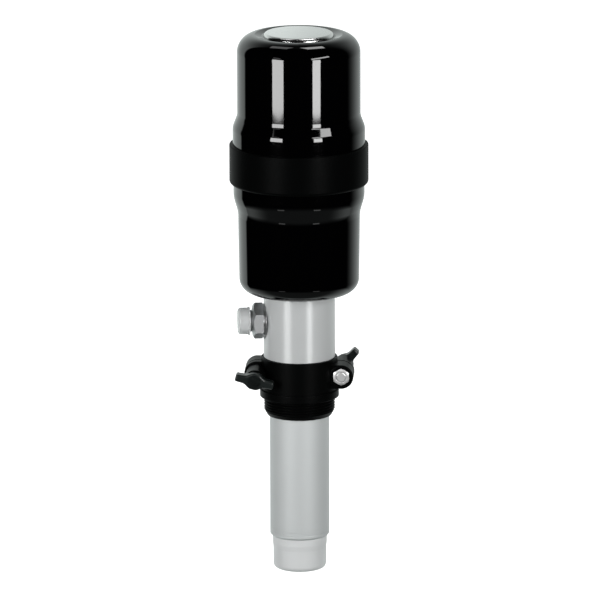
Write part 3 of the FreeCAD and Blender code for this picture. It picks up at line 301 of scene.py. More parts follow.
def cut_plane(piece, place, normal):
    """Removes what lies on the normal's side and closes the cut."""
    choose(piece)
    bpy.ops.object.mode_set(mode="EDIT")
    bpy.ops.mesh.select_all(action="SELECT")
    bpy.ops.mesh.bisect(plane_co=place, plane_no=normal, use_fill=True, clear_outer=True,
                        threshold=MERGE)
    tidy_shell()
    return piece


def threaded(name, radius, depth, pitch, low, high, envelope, steps=96):
    """A true helical thread, trimmed to a turned envelope. Lengths in mm."""
    root = radius - depth
    spare = 0.2
    start = low - 2 * pitch
    profile = [
        (root, 0.0), (root, 0.12), (radius, 0.44), (radius, 0.62), (root, 0.94), (root, 1.0)]
    points = [(r * MM, 0.0, (start + share * pitch) * MM) for r, share in profile]
    piece = start_point(name, points[0])
    draw(points)
    bpy.ops.object.mode_set(mode="OBJECT")
    helix = piece.modifiers.new("Thread", "SCREW")
    helix.axis = "Z"
    helix.angle = math.tau
    helix.screw_offset = pitch * MM
    helix.iterations = math.ceil((high - start) / pitch) + 2
    helix.steps = steps
    helix.render_steps = steps
    helix.use_merge_vertices = True
    helix.merge_threshold = THREAD_MERGE
    bpy.ops.object.modifier_apply(modifier=helix.name)
    bpy.ops.object.mode_set(mode="EDIT")
    bpy.ops.mesh.select_all(action="SELECT")
    bpy.ops.mesh.remove_doubles(threshold=THREAD_MERGE)
    bpy.ops.object.mode_set(mode="OBJECT")
    cut_plane(piece, (0, 0, (low - spare) * MM), (0, 0, -1))
    cut_plane(piece, (0, 0, (high + spare) * MM), (0, 0, 1))
    return combine(piece, envelope, "INTERSECT")


# Shared effects, as node groups

def add_node(tree, kind, settings=None, **inputs):
    """A node with its settings and inputs; i0, i1 and so on name an input by its number."""
    node = tree.nodes.new(kind)
    for key, value in (settings or {}).items():
        setattr(node, key, value)
    for key, value in inputs.items():
        by_number = key[0] == "i" and key[1:].isdigit()
        socket = node.inputs[int(key[1:]) if by_number else key]
        if isinstance(value, bpy.types.NodeSocket):
            tree.links.new(value, socket)
        else:
            socket.default_value = value
    return node


def math_node(tree, operation, first, second=0.0):
    node = add_node(tree, "ShaderNodeMath", {"operation": operation}, i0=first, i1=second)
    return node.outputs[0]


def new_group(name, inputs, outputs):
    """An empty node group with its sockets, and its two ends."""
    group = bpy.data.node_groups.new(name, "ShaderNodeTree")
    for label, kind, value in inputs:
        socket = group.interface.new_socket(name=label, in_out="INPUT", socket_type=kind)
        if value is not None:
            socket.default_value = value
    for label, kind in outputs:
        group.interface.new_socket(name=label, in_out="OUTPUT", socket_type=kind)
    return group, group.nodes.new("NodeGroupInput"), group.nodes.new("NodeGroupOutput")


def moulded_grain():
    """Fine skin of a moulded plastic, with the slow ripple under it."""
    group, given, out = new_group("moulded_grain", [
        ("Place", "NodeSocketVector", None), ("Grain Scale", "NodeSocketFloat", 2600.0),
        ("Grain Depth", "NodeSocketFloat", 0.00002), ("Ripple Depth", "NodeSocketFloat", 0.00003),
    ], [("Normal", "NodeSocketVector"), ("Mask", "NodeSocketFloat")])
    grain = add_node(group, "ShaderNodeTexNoise", None, Vector=given.outputs["Place"],
                     Scale=given.outputs["Grain Scale"], Detail=3.0)
    ripple = add_node(group, "ShaderNodeTexNoise", None, Vector=given.outputs["Place"],
                      Scale=55.0, Detail=1.0)
    slow = add_node(group, "ShaderNodeBump", None, Height=ripple.outputs["Fac"],
                    Distance=given.outputs["Ripple Depth"])
    fine = add_node(group, "ShaderNodeBump", None, Height=grain.outputs["Fac"],
                    Distance=given.outputs["Grain Depth"], Normal=slow.outputs["Normal"])
    group.links.new(fine.outputs["Normal"], out.inputs["Normal"])
    group.links.new(grain.outputs["Fac"], out.inputs["Mask"])
    return group


def turned_lines():
    """Rings that a lathe leaves: noise over radius and height alone."""
    group, given, out = new_group("turned_lines", [
        ("Place", "NodeSocketVector", None), ("Line Scale", "NodeSocketFloat", 2200.0),
        ("Line Depth", "NodeSocketFloat", 0.000006),
    ], [("Normal", "NodeSocketVector"), ("Mask", "NodeSocketFloat")])
    parts = add_node(group, "ShaderNodeSeparateXYZ", None, i0=given.outputs["Place"])
    across = math_node(group, "POWER", parts.outputs[0], 2.0)
    along = math_node(group, "POWER", parts.outputs[1], 2.0)
    radius = math_node(group, "SQRT", math_node(group, "ADD", across, along))
    ring = add_node(group, "ShaderNodeCombineXYZ", None, i0=radius, i2=parts.outputs[2])
    lines = add_node(group, "ShaderNodeTexNoise", None, Vector=ring.outputs[0],
                     Scale=given.outputs["Line Scale"], Detail=4.0, Roughness=0.65)
    bump = add_node(group, "ShaderNodeBump", None, Height=lines.outputs["Fac"],
                    Distance=given.outputs["Line Depth"])
    group.links.new(bump.outputs["Normal"], out.inputs["Normal"])
    group.links.new(lines.outputs["Fac"], out.inputs["Mask"])
    return group


def surface_wear():
    """Handling marks: soft clouds that shift the roughness and darken the colour a little."""
    group, given, out = new_group("surface_wear", [
        ("Place", "NodeSocketVector", None), ("Colour", "NodeSocketColor", None),
        ("Roughness", "NodeSocketFloat", 0.4), ("Amount", "NodeSocketFloat", 0.1),
    ], [("Colour", "NodeSocketColor"), ("Roughness", "NodeSocketFloat")])
    clouds = add_node(group, "ShaderNodeTexNoise", None, Vector=given.outputs["Place"],
                      Scale=38.0, Detail=6.0, Roughness=0.6)
    share = math_node(group, "MULTIPLY", clouds.outputs["Fac"], given.outputs["Amount"])
    dull = math_node(group, "SUBTRACT", 1.0, share)
    tone = add_node(group, "ShaderNodeVectorMath", {"operation": "SCALE"},
                    i0=given.outputs["Colour"])
    group.links.new(dull, tone.inputs["Scale"])
    rough = math_node(group, "MULTIPLY", given.outputs["Roughness"],
                      math_node(group, "ADD", 1.0, share))
    group.links.new(tone.outputs[0], out.inputs["Colour"])
    group.links.new(rough, out.inputs["Roughness"])
    return group


GROUPS = {}


def shared(name):
    """A node group by its short name, made once."""
    makers = {"grain": moulded_grain, "lines": turned_lines, "wear": surface_wear}
    if name not in GROUPS:
        GROUPS[name] = makers[name]()
    return GROUPS[name]


# Finishes: slot -> skin, roughness, metallic, wear, skin scale and depth, other sockets

FINISHES = {
    "cover_gloss": ("grain", 0.04, 0.0, 0.10, 900.0, 0.0000005, {}),
    "band_black": ("grain", 0.36, 0.0, 0.15, 3400.0, 0.00001, {"Specular IOR Level": 0.02}),
    "clamp_plastic": ("grain", 0.34, 0.0, 0.20, 2600.0, 0.000012, {"Specular IOR Level": 0.05}),
    "knob_plastic": ("grain", 0.30, 0.0, 0.15, 2400.0, 0.000016, {}),
    "tube_satin": ("lines", 0.55, 0.30, 0.05, 2400.0, 0.000002, {}),
    "body_satin": ("lines", 0.38, 0.12, 0.05, 2400.0, 0.000002,
                   {"Anisotropic": 0.92, "Anisotropic Rotation": 0.25}),
    "disc_satin": ("lines", 0.20, 1.0, 0.04, 3000.0, 0.0000006, {}),
    "bright_zinc": ("grain", 0.44, 1.0, 0.12, 1500.0, 0.000004, {}),
    "nipple_steel": ("lines", 0.42, 1.0, 0.15, 2200.0, 0.000004, {}),
    "seal_steel": ("lines", 0.26, 1.0, 0.15, 2200.0, 0.000004, {}),
    "cap_milky": ("grain", 0.42, 0.0, 0.05, 1400.0, 0.00001,
                  {"Transmission Weight": 0.25, "IOR": 1.5}),
    "cap_clear": ("grain", 0.22, 0.0, 0.05, 1400.0, 0.00001,
                  {"Transmission Weight": 0.45, "IOR": 1.5}),
    "rubber_black": ("grain", 0.60, 0.0, 0.15, 1800.0, 0.00002, {}),
    "inner_aluminium": ("lines", 0.34, 1.0, 0.10, 2000.0, 0.000005, {}),
    "inner_steel": ("lines", 0.26, 1.0, 0.10, 2200.0, 0.000004, {}),
    "ball_chrome": ("grain", 0.08, 1.0, 0.04, 1200.0, 0.000001, {}),
    "bronze": ("lines", 0.32, 1.0, 0.15, 2000.0, 0.000005, {}),
    "seal_plastic": ("grain", 0.45, 0.0, 0.08, 2000.0, 0.00001, {}),
    "foam": ("grain", 0.95, 0.0, 0.30, 900.0, 0.0004, {}),
}
SAME_COLOUR = {"cap_clear": "cap_milky"}
RIPPLE_DEPTH = 0.00001
MADE = {}


def finish(slot):
    """The material of one of the record's slots, made once."""
    if slot in MADE:
        return MADE[slot]
    skin, roughness, metallic, wear, scale, depth, sockets = FINISHES[slot]
    base = getattr(bpy.context.scene.pump_colours, SAME_COLOUR.get(slot, slot))
    material = bpy.data.materials.new(slot)
    material.use_nodes = True
    tree = material.node_tree
    tree.nodes.clear()
    shader = tree.nodes.new("ShaderNodeBsdfPrincipled")
    output = tree.nodes.new("ShaderNodeOutputMaterial")
    tree.links.new(shader.outputs[0], output.inputs["Surface"])
    place = tree.nodes.new("ShaderNodeTexCoord").outputs["Object"]
    marks = add_node(tree, "ShaderNodeGroup", {"node_tree": shared("wear")}, Place=place,
                     Colour=(*base, 1.0), Roughness=roughness, Amount=wear)
    tree.links.new(marks.outputs["Colour"], shader.inputs["Base Color"])
    tree.links.new(marks.outputs["Roughness"], shader.inputs["Roughness"])
    surface = add_node(tree, "ShaderNodeGroup", {"node_tree": shared(skin)}, Place=place)
    if skin == "grain":
        surface.inputs["Grain Scale"].default_value = scale
        surface.inputs["Grain Depth"].default_value = depth
        surface.inputs["Ripple Depth"].default_value = RIPPLE_DEPTH
    else:
        surface.inputs["Line Scale"].default_value = scale
        surface.inputs["Line Depth"].default_value = depth
    tree.links.new(surface.outputs["Normal"], shader.inputs["Normal"])
    shader.inputs["Metallic"].default_value = metallic
    for label, value in sockets.items():
        shader.inputs[label].default_value = value
    if "Anisotropic" in sockets:
        tangent = add_node(tree, "ShaderNodeTangent", {"direction_type": "RADIAL", "axis": "Z"})
        tree.links.new(tangent.outputs[0], shader.inputs["Tangent"])
    MADE[slot] = material
    return material


def dress(piece, body, node, slot, look=None):
    """Gives a piece its finish and smooth shading, hangs it on its body's empty and hides the
    frame node it stands for.
    """
    choose(piece)
    bpy.ops.object.shade_smooth_by_angle(angle=SMOOTH_ANGLE)
    flats = piece.modifiers.new("Flats", "WEIGHTED_NORMAL")
    flats.keep_sharp = True
    bpy.ops.object.modifier_apply(modifier=flats.name)
    piece.data.materials.clear()
    piece.data.materials.append(finish(look or slot))
    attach(piece, body)
    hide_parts(node)


def sizes():
    """The sizes in mm, by name."""
    group = bpy.context.scene.pump_sizes
    return {name: getattr(group, name) / MM for name in PumpSizes.__annotations__}


class PumpOperator(bpy.types.Operator):
    """Common ground of the pump's operators."""

    bl_options = {"REGISTER", "UNDO"}


# Covers and head

class PUMP_OT_upper_cover(PumpOperator):
    """Makes the upper bell cover, with its dished crown, and the disc that clamps it"""
    bl_idname = "pump.upper_cover"
    bl_label = "Upper cover"

    def execute(self, context):
        size = sizes()
        wall = size["cover_wall"]
        outer, mouth, disc = size["upper_radius"], size["upper_mouth"], size["disc_radius"]
        flare = size["flare_round"] / 2
        cover = turned("upper_cover_fine", [
            (mouth - wall, COVER_FOOT), (mouth, COVER_FOOT), (mouth, 231.0), (outer, 241.0),
            (outer, COVER_CROWN), (outer - 15.0, COVER_CROWN), (outer - 20.4, 308.2),
            (disc + 0.15, 308.2), (disc + 0.15, DISC_SEAT), (4.1, DISC_SEAT), (4.1, 304.0),
            (outer - wall, 304.0), (outer - wall, 241.0), (mouth - wall, 231.0),
        ], rounds=[
            (1, 0.5, 3), (2, flare, 12), (3, flare, 12), (4, 14.99, 28), (6, 2.0, 6),
            (11, 12.4, 20), (12, flare, 10), (13, flare, 10),
        ], steps=192)
        dress(cover, "pump", "upper_cover", "cover_gloss")
        hole_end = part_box("cover_stud")[1][2] / MM
        dome = [(reach, DISC_TOP - reach * reach / 1400.0) for reach in (20, 15, 10, 5, 0)]
        plate = turned("cover_disc_fine", [
            (0.0, hole_end), (4.0, hole_end), (4.0, DISC_SEAT), (disc, DISC_SEAT),
            (disc, 310.9), *dome,
        ], rounds=[
            (4, 3.2, 14), (5, 60.0, 3), (6, 60.0, 3), (7, 60.0, 3), (8, 60.0, 3),
        ], steps=192)
        dress(plate, "pump", "cover_disc", "disc_satin")
        return {"FINISHED"}


class PUMP_OT_lower_cover(PumpOperator):
    """Makes the lower bell cover, with its rounded floor and flared rim"""
    bl_idname = "pump.lower_cover"
    bl_label = "Lower cover"

    def execute(self, context):
        size = sizes()
        wall = size["cover_wall"]
        waist, rim = size["lower_radius"], size["lower_rim"]
        base = waist - 1.0
        hole = size["body_radius"] + 1.2
        flare = size["flare_round"]
        cover = turned("lower_cover_fine", [
            (hole, LOWER_FLOOR), (base, LOWER_FLOOR), (waist, 158.6), (rim, 171.4),
            (rim, HEAD_WRAP), (rim - wall, HEAD_WRAP), (rim - wall, 171.4), (waist - wall, 158.6),
            (base - wall, LOWER_FLOOR + wall), (hole, LOWER_FLOOR + wall),
        ], rounds=[
            (0, 0.4, 3), (1, 12.0, 24), (2, flare, 12), (3, flare, 12), (4, 0.4, 3),
            (6, flare, 10), (7, flare, 10), (8, 9.4, 18),
        ], steps=192)
        dress(cover, "pump", "lower_cover", "cover_gloss")
        return {"FINISHED"}


class PUMP_OT_motor_head(PumpOperator):
    """Makes the matt head between the covers from the frame's own solid, merged and smoothed"""
    bl_idname = "pump.motor_head"
    bl_label = "Motor head"

    def execute(self, context):
        head = copy_of(frame["nodes"]["motor_head"], "motor_head_fine")
        head.data = head.data.copy()
        bpy.ops.object.mode_set(mode="EDIT")
        bpy.ops.mesh.select_all(action="SELECT")
        bpy.ops.mesh.remove_doubles(threshold=FRAME_MERGE)
        bpy.ops.object.mode_set(mode="OBJECT")
        dress(head, "pump", "motor_head", "band_black")
        return {"FINISHED"}


# Outlet body, nipple, suction tube and caps

def along_outlet():
    """From a piece turned about Z to the outlet's axis along -X."""
    return Matrix.Translation((0, 0, OUTLET_HEIGHT * MM)) @ Matrix.Rotation(-math.pi / 2, 4, "Y")


class PUMP_OT_outlet_body(PumpOperator):
    """Makes the wide satin body, with the outlet's spot face and hole"""
    bl_idname = "pump.outlet_body"
    bl_label = "Outlet body"

    def execute(self, context):
        size = sizes()
        radius, bore = size["body_radius"], size["tube_radius"] + 0.1
        body = turned("outlet_body_fine", [
            (bore, BODY_FOOT), (radius, BODY_FOOT), (radius, 88.2), (radius - 1.5, 88.2),
            (radius - 1.5, LOWER_FLOOR), (radius, LOWER_FLOOR), (radius, 104.0), (24.0, 104.0),
            (24.0, TUBE_TOP), (bore, TUBE_TOP),
        ], rounds=[(1, 0.7, 4)], steps=192)
        face = turned("face_tool", [
            (0, SPOT_FACE), (15.6, SPOT_FACE), (15.6, 40.0), (0, 40.0)], steps=96)
        combine(body, move(face, along_outlet()), "DIFFERENCE")
        hole_radius = 10.5775
        hole = turned("hole_tool", [
            (0, 5.0), (hole_radius, 5.0), (hole_radius, 40.0), (0, 40.0)], steps=72)
        combine(body, move(hole, along_outlet()), "DIFFERENCE")
        dress(body, "pump", "outlet_body", "tube_satin", "body_satin")
        return {"FINISHED"}


class PUMP_OT_outlet_nipple(PumpOperator):
    """Makes the hexagon nipple with its real pipe thread, and the bonded seal's ring"""
    bl_idname = "pump.outlet_nipple"
    bl_label = "Outlet nipple"

    def execute(self, context):
        size = sizes()
        radius = size["outlet_thread"]
        core = turned("outlet_nipple_fine", [
            (7.0, 20.0), (radius, 20.0), (radius, 33.0), (9.2, 33.0), (9.2, 50.2), (7.0, 50.2),
        ], steps=96)
        hexagon_bar = prism("hexagon", hexagon(27.0), HEXAGON_FACE, HEXAGON_END)
        lens = turned("lens_tool", [
            (0.0, HEXAGON_FACE), (15.7, HEXAGON_FACE), (15.7, 37.35), (13.0, HEXAGON_END),
            (0.0, HEXAGON_END)], steps=96)
        combine(hexagon_bar, lens, "INTERSECT")
        bore = turned("bore_tool", [(0, 30.0), (8.0, 30.0), (8.0, 41.0), (0, 41.0)], steps=72)
        combine(hexagon_bar, bore, "DIFFERENCE")
        move(hexagon_bar, Matrix.Rotation(math.pi / 6, 4, "Z"))
        envelope = turned("envelope", [
            (7.0, NIPPLE_THREAD), (radius, NIPPLE_THREAD), (radius, NIPPLE_END - 1.0),
            (radius - 1.0, NIPPLE_END), (7.0, NIPPLE_END)], steps=96)
        thread = threaded("thread", radius, NARROW_DEPTH, size["narrow_pitch"],
                          NIPPLE_THREAD, NIPPLE_END, envelope, 72)
        join(core, hexagon_bar, thread)
        dress(move(core, along_outlet()), "pump", "outlet_nipple", "nipple_steel")
        ring = turned("outlet_seal_ring_fine", [
            (12.0, SPOT_FACE), (14.3, SPOT_FACE), (14.3, HEXAGON_FACE), (12.0, HEXAGON_FACE)],
            rounds=[(1, 0.3, 3), (2, 0.3, 3)], steps=96)
        dress(move(ring, along_outlet()), "pump", "outlet_seal_ring", "seal_steel")
        return {"FINISHED"}


class PUMP_OT_suction_tube(PumpOperator):
    """Makes the suction tube and the foot valve's body with its real pipe thread"""
    bl_idname = "pump.suction_tube"
    bl_label = "Suction tube and foot"

    def execute(self, context):
        size = sizes()
        radius, thread_radius = size["tube_radius"], size["foot_thread"]
        tube = turned("pump_tube_fine", [
            (22.5, TUBE_FOOT), (radius, TUBE_FOOT), (radius, 42.8), (radius - 1.5, 42.8),
            (radius - 1.5, 45.2), (radius, 45.2), (radius, TUBE_TOP), (22.5, TUBE_TOP),
        ], rounds=[(1, 0.3, 3)], steps=192)
        dress(tube, "pump", "pump_tube", "tube_satin")
        foot = turned("foot_valve_body_fine", [
            (15.0, -147.1), (19.2, -147.1), (19.2, FOOT_SHOULDER), (radius - 1.6, FOOT_SHOULDER),
            (radius, -119.0), (radius, -117.0), (radius - 0.4, -116.6), (radius, -116.2),
            (radius, TUBE_FOOT), (22.4, TUBE_FOOT), (22.4, -107.2), (20.9, -107.2),
            (20.9, -104.8), (22.4, -104.8), (22.4, -98.0), (14.0, -98.0),
            (14.0, -128.0), (12.0, -128.0), (12.0, -132.0), (15.0, -136.0),
        ], rounds=[(3, 0.3, 3), (4, 0.4, 3), (5, 0.3, 3)], steps=144)
        low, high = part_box("foot_ball_stop")
        middle = Matrix.Translation((0, 0, (low[2] + high[2]) / 2))
        across = middle @ Matrix.Rotation(math.pi / 2, 4, "Y")
        hole = turned("pin_tool", [(0, -18.0), (1.5, -18.0), (1.5, 18.0), (0, 18.0)], steps=32)
        combine(foot, move(hole, across), "DIFFERENCE")
        end = -147.3
        envelope = turned("envelope", [
            (15.0, end), (thread_radius - 1.0, end), (thread_radius, -146.3),
            (thread_radius, FOOT_SHOULDER), (15.0, FOOT_SHOULDER)], steps=144)
        thread = threaded("thread", thread_radius, WIDE_DEPTH, size["wide_pitch"],
                          end, FOOT_SHOULDER, envelope)
        join(foot, thread)
        dress(foot, "pump", "foot_valve_body", "tube_satin")
        return {"FINISHED"}


class PUMP_OT_thread_caps(PumpOperator):
    """Makes the milky caps that protect the outlet's and the suction thread"""
    bl_idname = "pump.thread_caps"
    bl_label = "Thread caps"

    def execute(self, context):
        size = sizes()
        play = 0.12
        inner = size["outlet_thread"] + play
        outer = inner + 0.7
        lip = outer + 0.7
        cap = turned("outlet_cap_fine", [
            (inner, NIPPLE_THREAD), (lip, NIPPLE_THREAD), (lip, 43.2), (outer, 43.2),
            (outer, 51.8), (0, 51.8), (0, 50.52), (inner, 50.52),
        ], rounds=[(1, 0.3, 3), (2, 0.3, 3), (4, 2.4, 8)], steps=96)
        dress(move(cap, along_outlet()), "outlet_cap", "outlet_cap", "cap_milky", "cap_clear")
        inner = size["foot_thread"] + play
        outer = inner + 1.25
        lip = outer + 0.6
        cap = turned("inlet_cap_fine", [
            (0, -149.12), (outer, -149.12), (outer, -131.0), (lip, -126.5), (lip, -120.72),
            (inner, -120.72), (inner, -147.42), (0, -147.42),
        ], rounds=[(1, 4.3, 12), (2, 3.0, 5), (3, 3.0, 5), (4, 0.4, 3)], steps=144)
        dress(cap, "inlet_cap", "inlet_cap", "cap_milky")
        return {"FINISHED"}


# Bung adapter and its clamp screws

EAR_REACH, EAR_HEIGHT = 35.9, 19.8
NUT_EAR, WING_EAR = 17.6, 7.0
NUT_HEIGHT = 6.5
COLLAR_RADIUS, HALF_GAP, THREAD_TAIL = 32.0, 1.0, -15.9
KNOBS = (("left", 0.0, -13.0), ("right", math.pi, -47.0))


def out_of_slit(side):
    """From a piece along Z to an ear's screw axis, pointing out of the front half."""
    spot = Matrix.Translation((EAR_REACH * side * MM, 0, EAR_HEIGHT * MM))
    return spot @ Matrix.Rotation(math.pi / 2, 4, "X")


def half_turn():
    return Matrix.Rotation(math.pi, 4, "Z")


def clamp_turn():
    return Matrix.Rotation(CLAMP_TURN, 4, "Z")


def ear(side, depth):
    """Round boss of an ear and the web that carries it from the collar."""
    boss = turned("boss", [(0, -3.0), (10.2, -3.0), (10.2, depth), (0, depth)],
                  rounds=[(2, 1.0, 5)], steps=72)
    move(boss, out_of_slit(side))
    root, half_height = 27.0, 10.18
    outline = [(root * side, 3.0), (EAR_REACH * side, 3.0),
               (EAR_REACH * side, -(depth - 1.0)), (root * side, -(depth - 1.0))]
    web = prism("web", outline, EAR_HEIGHT - half_height, EAR_HEIGHT + half_height)
    return combine(boss, web, "UNION")


class PUMP_OT_bung_halves(PumpOperator):
    """Makes one half of the bung adapter with its two ears, and its twin across the slit"""
    bl_idname = "pump.bung_halves"
    bl_label = "Bung adapter"

    def execute(self, context):
        size = sizes()
        bore, thread = size["tube_radius"] + 0.12, size["bung_thread"]
        half = turned("bung_front_half_fine", [
            (bore, -1.0), (28.0, -1.0), (28.0, 0.0), (33.2, 0.0), (33.2, 6.4),
            (COLLAR_RADIUS, 6.4), (COLLAR_RADIUS, BODY_FOOT), (bore, BODY_FOOT),
        ], rounds=[(3, 0.4, 3), (4, 0.5, 4), (6, 0.5, 4)], steps=192)
        for side, depth in ((1, NUT_EAR), (-1, WING_EAR)):
            combine(half, ear(side, depth), "UNION")
            hole = turned("hole_tool", [(0, -5), (4.3, -5), (4.3, 30), (0, 30)], steps=48)
            combine(half, move(hole, out_of_slit(side)), "DIFFERENCE")
        pocket = prism("pocket_tool", hexagon(13.2), NUT_EAR - NUT_HEIGHT, 30.0)
        combine(half, move(pocket, out_of_slit(1)), "DIFFERENCE")
        face = turned("face_tool", [(0, WING_EAR), (8.4, WING_EAR), (8.4, 30), (0, 30)], steps=72)
        combine(half, move(face, out_of_slit(-1)), "DIFFERENCE")
        envelope = turned("envelope", [
            (bore, THREAD_TAIL), (27.0, THREAD_TAIL), (thread, -11.0), (thread, -0.3),
            (bore, -0.3)], steps=192)
        ridges = threaded("ridges", thread, WIDE_DEPTH, size["wide_pitch"],
                          THREAD_TAIL, -0.3, envelope, 144)
        for piece in (half, ridges):
            cut_plane(piece, (0, -HALF_GAP * MM, 0), (0, 1, 0))
        join(half, ridges)
        twin = move(copy_of(half, "bung_rear_half_fine"), half_turn())
        for piece, node in ((half, "bung_front_half"), (twin, "bung_rear_half")):
            dress(move(piece, clamp_turn()), "bung", node, "clamp_plastic")
        return {"FINISHED"}


def wing_outline():
    """Outline of a knob's two wings, from a quarter of it."""
    quarter = [(16.4, 3.0), (8.4, 3.4), (3.0, 6.9)]
    upper = quarter + [(-x, y) for x, y in reversed(quarter)]
    return upper + [(-x, -y) for x, y in upper]


class PUMP_OT_clamp_screws(PumpOperator):
    """Makes the captured nuts and both wing screws: washer, threaded stud and winged knob"""
    bl_idname = "pump.clamp_screws"
    bl_label = "Clamp screws"

    def execute(self, context):
        size = sizes()
        nut_foot = NUT_EAR - NUT_HEIGHT
        nut = prism("clamp_nuts_fine", hexagon(13.0), nut_foot, NUT_EAR)
        lens = turned("lens_tool", [
            (0, nut_foot), (7.6, nut_foot), (7.6, NUT_EAR - 0.8), (6.3, NUT_EAR),
            (0, NUT_EAR)], steps=72)
        combine(nut, lens, "INTERSECT")
        bore = turned("bore_tool", [
            (0, 5), (4.06, 5), (4.06, NUT_EAR - 0.6), (4.8, NUT_EAR + 0.14), (4.8, 25), (0, 25),
        ], steps=60)
        combine(nut, bore, "DIFFERENCE")
        move(nut, out_of_slit(1))
        join(nut, move(copy_of(nut, "second_nut"), half_turn()))
        dress(move(nut, clamp_turn()), "bung", "clamp_nuts", "bright_zinc")
        for side, turn_half, knob_turn in KNOBS:
            seat = clamp_turn() @ Matrix.Rotation(turn_half, 4, "Z") @ out_of_slit(-1)
            self.wing_screw(size, side, seat, math.radians(knob_turn))
        return {"FINISHED"}

    def wing_screw(self, size, side, seat, knob_turn):
        neck = WING_EAR + 1.6
        stud_top = neck + 16.0
        washer = turned(f"{side}_washer_fine", [
            (4.3, WING_EAR), (8.0, WING_EAR), (8.0, neck), (4.3, neck)],
            rounds=[(1, 0.25, 3), (2, 0.25, 3)], steps=72)
        dress(move(washer, seat), f"{side}_screw_seat", f"{side}_washer", "bright_zinc")
        tail = -NUT_EAR - 0.6
        envelope = turned("envelope", [
            (0, tail), (3.3, tail), (4.0, tail + 0.7), (4.0, stud_top), (0, stud_top)], steps=60)
        stud = threaded("stud", 4.0, SCREW_DEPTH, size["screw_pitch"], tail, stud_top,
                        envelope, 48)
        stud.name = f"{side}_stud_fine"
        dress(move(stud, seat), f"{side}_wing_screw", f"{side}_stud", "bright_zinc")
        wings = neck + 18.6
        top = wings + 11.0
        knob = turned(f"{side}_wing_knob_fine", [
            (4.0, neck), (6.3, neck), (6.3, top), (0, top), (0, stud_top), (4.0, stud_top)],
            rounds=[(1, 0.5, 4), (2, 0.8, 4)], steps=72)
        blade = prism("blade", wing_outline(), wings, top)
        choose(blade)
        soften = blade.modifiers.new("Soften", "BEVEL")
        soften.width = 1.6 * MM
        soften.segments = 5
        soften.limit_method = "ANGLE"
        soften.angle_limit = math.radians(25)
        bpy.ops.object.modifier_apply(modifier=soften.name)
        join(knob, blade)
        turned_seat = seat @ Matrix.Rotation(knob_turn, 4, "Z")
        dress(move(knob, turned_seat), f"{side}_wing_screw", f"{side}_wing_knob", "knob_plastic")


class PUMP_OT_frame_finishes(PumpOperator):
    """Gives every piece that stays from the frame its own finish"""
    bl_idname = "pump.frame_finishes"
    bl_label = "Inner pieces"

    def execute(self, context):
        slots = {}
        for part in frame["record"]["subparts"]:
            slots[part.get("node") or part.get("name")] = part["material_slot"]
        for name, piece in frame["nodes"].items():
            piece.data.materials.clear()
            piece.data.materials.append(finish(slots[name]))
        return {"FINISHED"}


# Stage: floor, surround, softboxes and camera

AZIMUTH, ELEVATION = math.radians(-5.0), math.radians(13.3)
AIM = Vector((0, 0, 0.0819))
DISTANCE, VIEW_END = 8.0, 50.0
LENS, SENSOR, SHIFT_X, ROLL = 572.5, 36.0, 0.00125, math.radians(-0.14)
FLOOR_SIZE, FLOOR_HEIGHT = 8.0, -149.3 * MM
SURROUND_TINT = (0.93, 1.0, 0.98, 1.0)

# Upright lamps: name, turn to the right in degrees, reach, low and high end, width, all in
# metres, radiance, tilt in degrees, and whether reflections show it
LAMPS = (
    ("right_softbox", 32.7, 1.2, -0.001, 0.52, 0.31, 14.5, 0.0, True),
    ("left_softbox", -38.6, 1.2, -0.001, 0.52, 0.45, 12.5, 0.0, True),
    ("right_patch", 42.0, 1.2, 0.66, 0.82, 0.80, 10.0, 8.0, True),
    ("right_fill", 85.0, 1.2, -0.1, 0.5, 0.6, 1.7, 0.0, False),
    ("left_fill", -85.0, 1.2, -0.1, 0.5, 0.6, 2.3, 0.0, False),
    ("left_patch", -42.0, 1.2, 0.66, 0.78, 0.30, 1.2, -8.0, True),
    ("right_table_glow", 32.7, 0.55, -0.146, -0.11, 0.12, 1.2, 0.0, True),
    ("left_table_glow", -32.7, 0.55, -0.146, -0.11, 0.12, 1.0, 0.0, True),
)

# Lamps over the crown: name, place to the right of it and behind it, radiance
OVERHEADS = (("right_overhead", 0.30, 0.20, 6.0), ("left_overhead", -0.36, 0.26, 1.6))
OVERHEAD_CLEARANCE, OVERHEAD_WIDTH, OVERHEAD_LENGTH = 1.2, 0.35, 0.45
CROWN = Vector((0, 0, 0.30))


def level_direction(turn):
    """A level direction, as an angle to the right of the way back to the camera."""
    angle = AZIMUTH + turn
    return Vector((math.sin(angle), -math.cos(angle), 0))


def fade(tree, value, start, end, low, high):
    """A smooth step from low at start to high at end."""
    step = add_node(tree, "ShaderNodeMapRange", {"interpolation_type": "SMOOTHSTEP"}, i0=value,
                    i1=start, i2=end, i3=low, i4=high)
    return step.outputs[0]


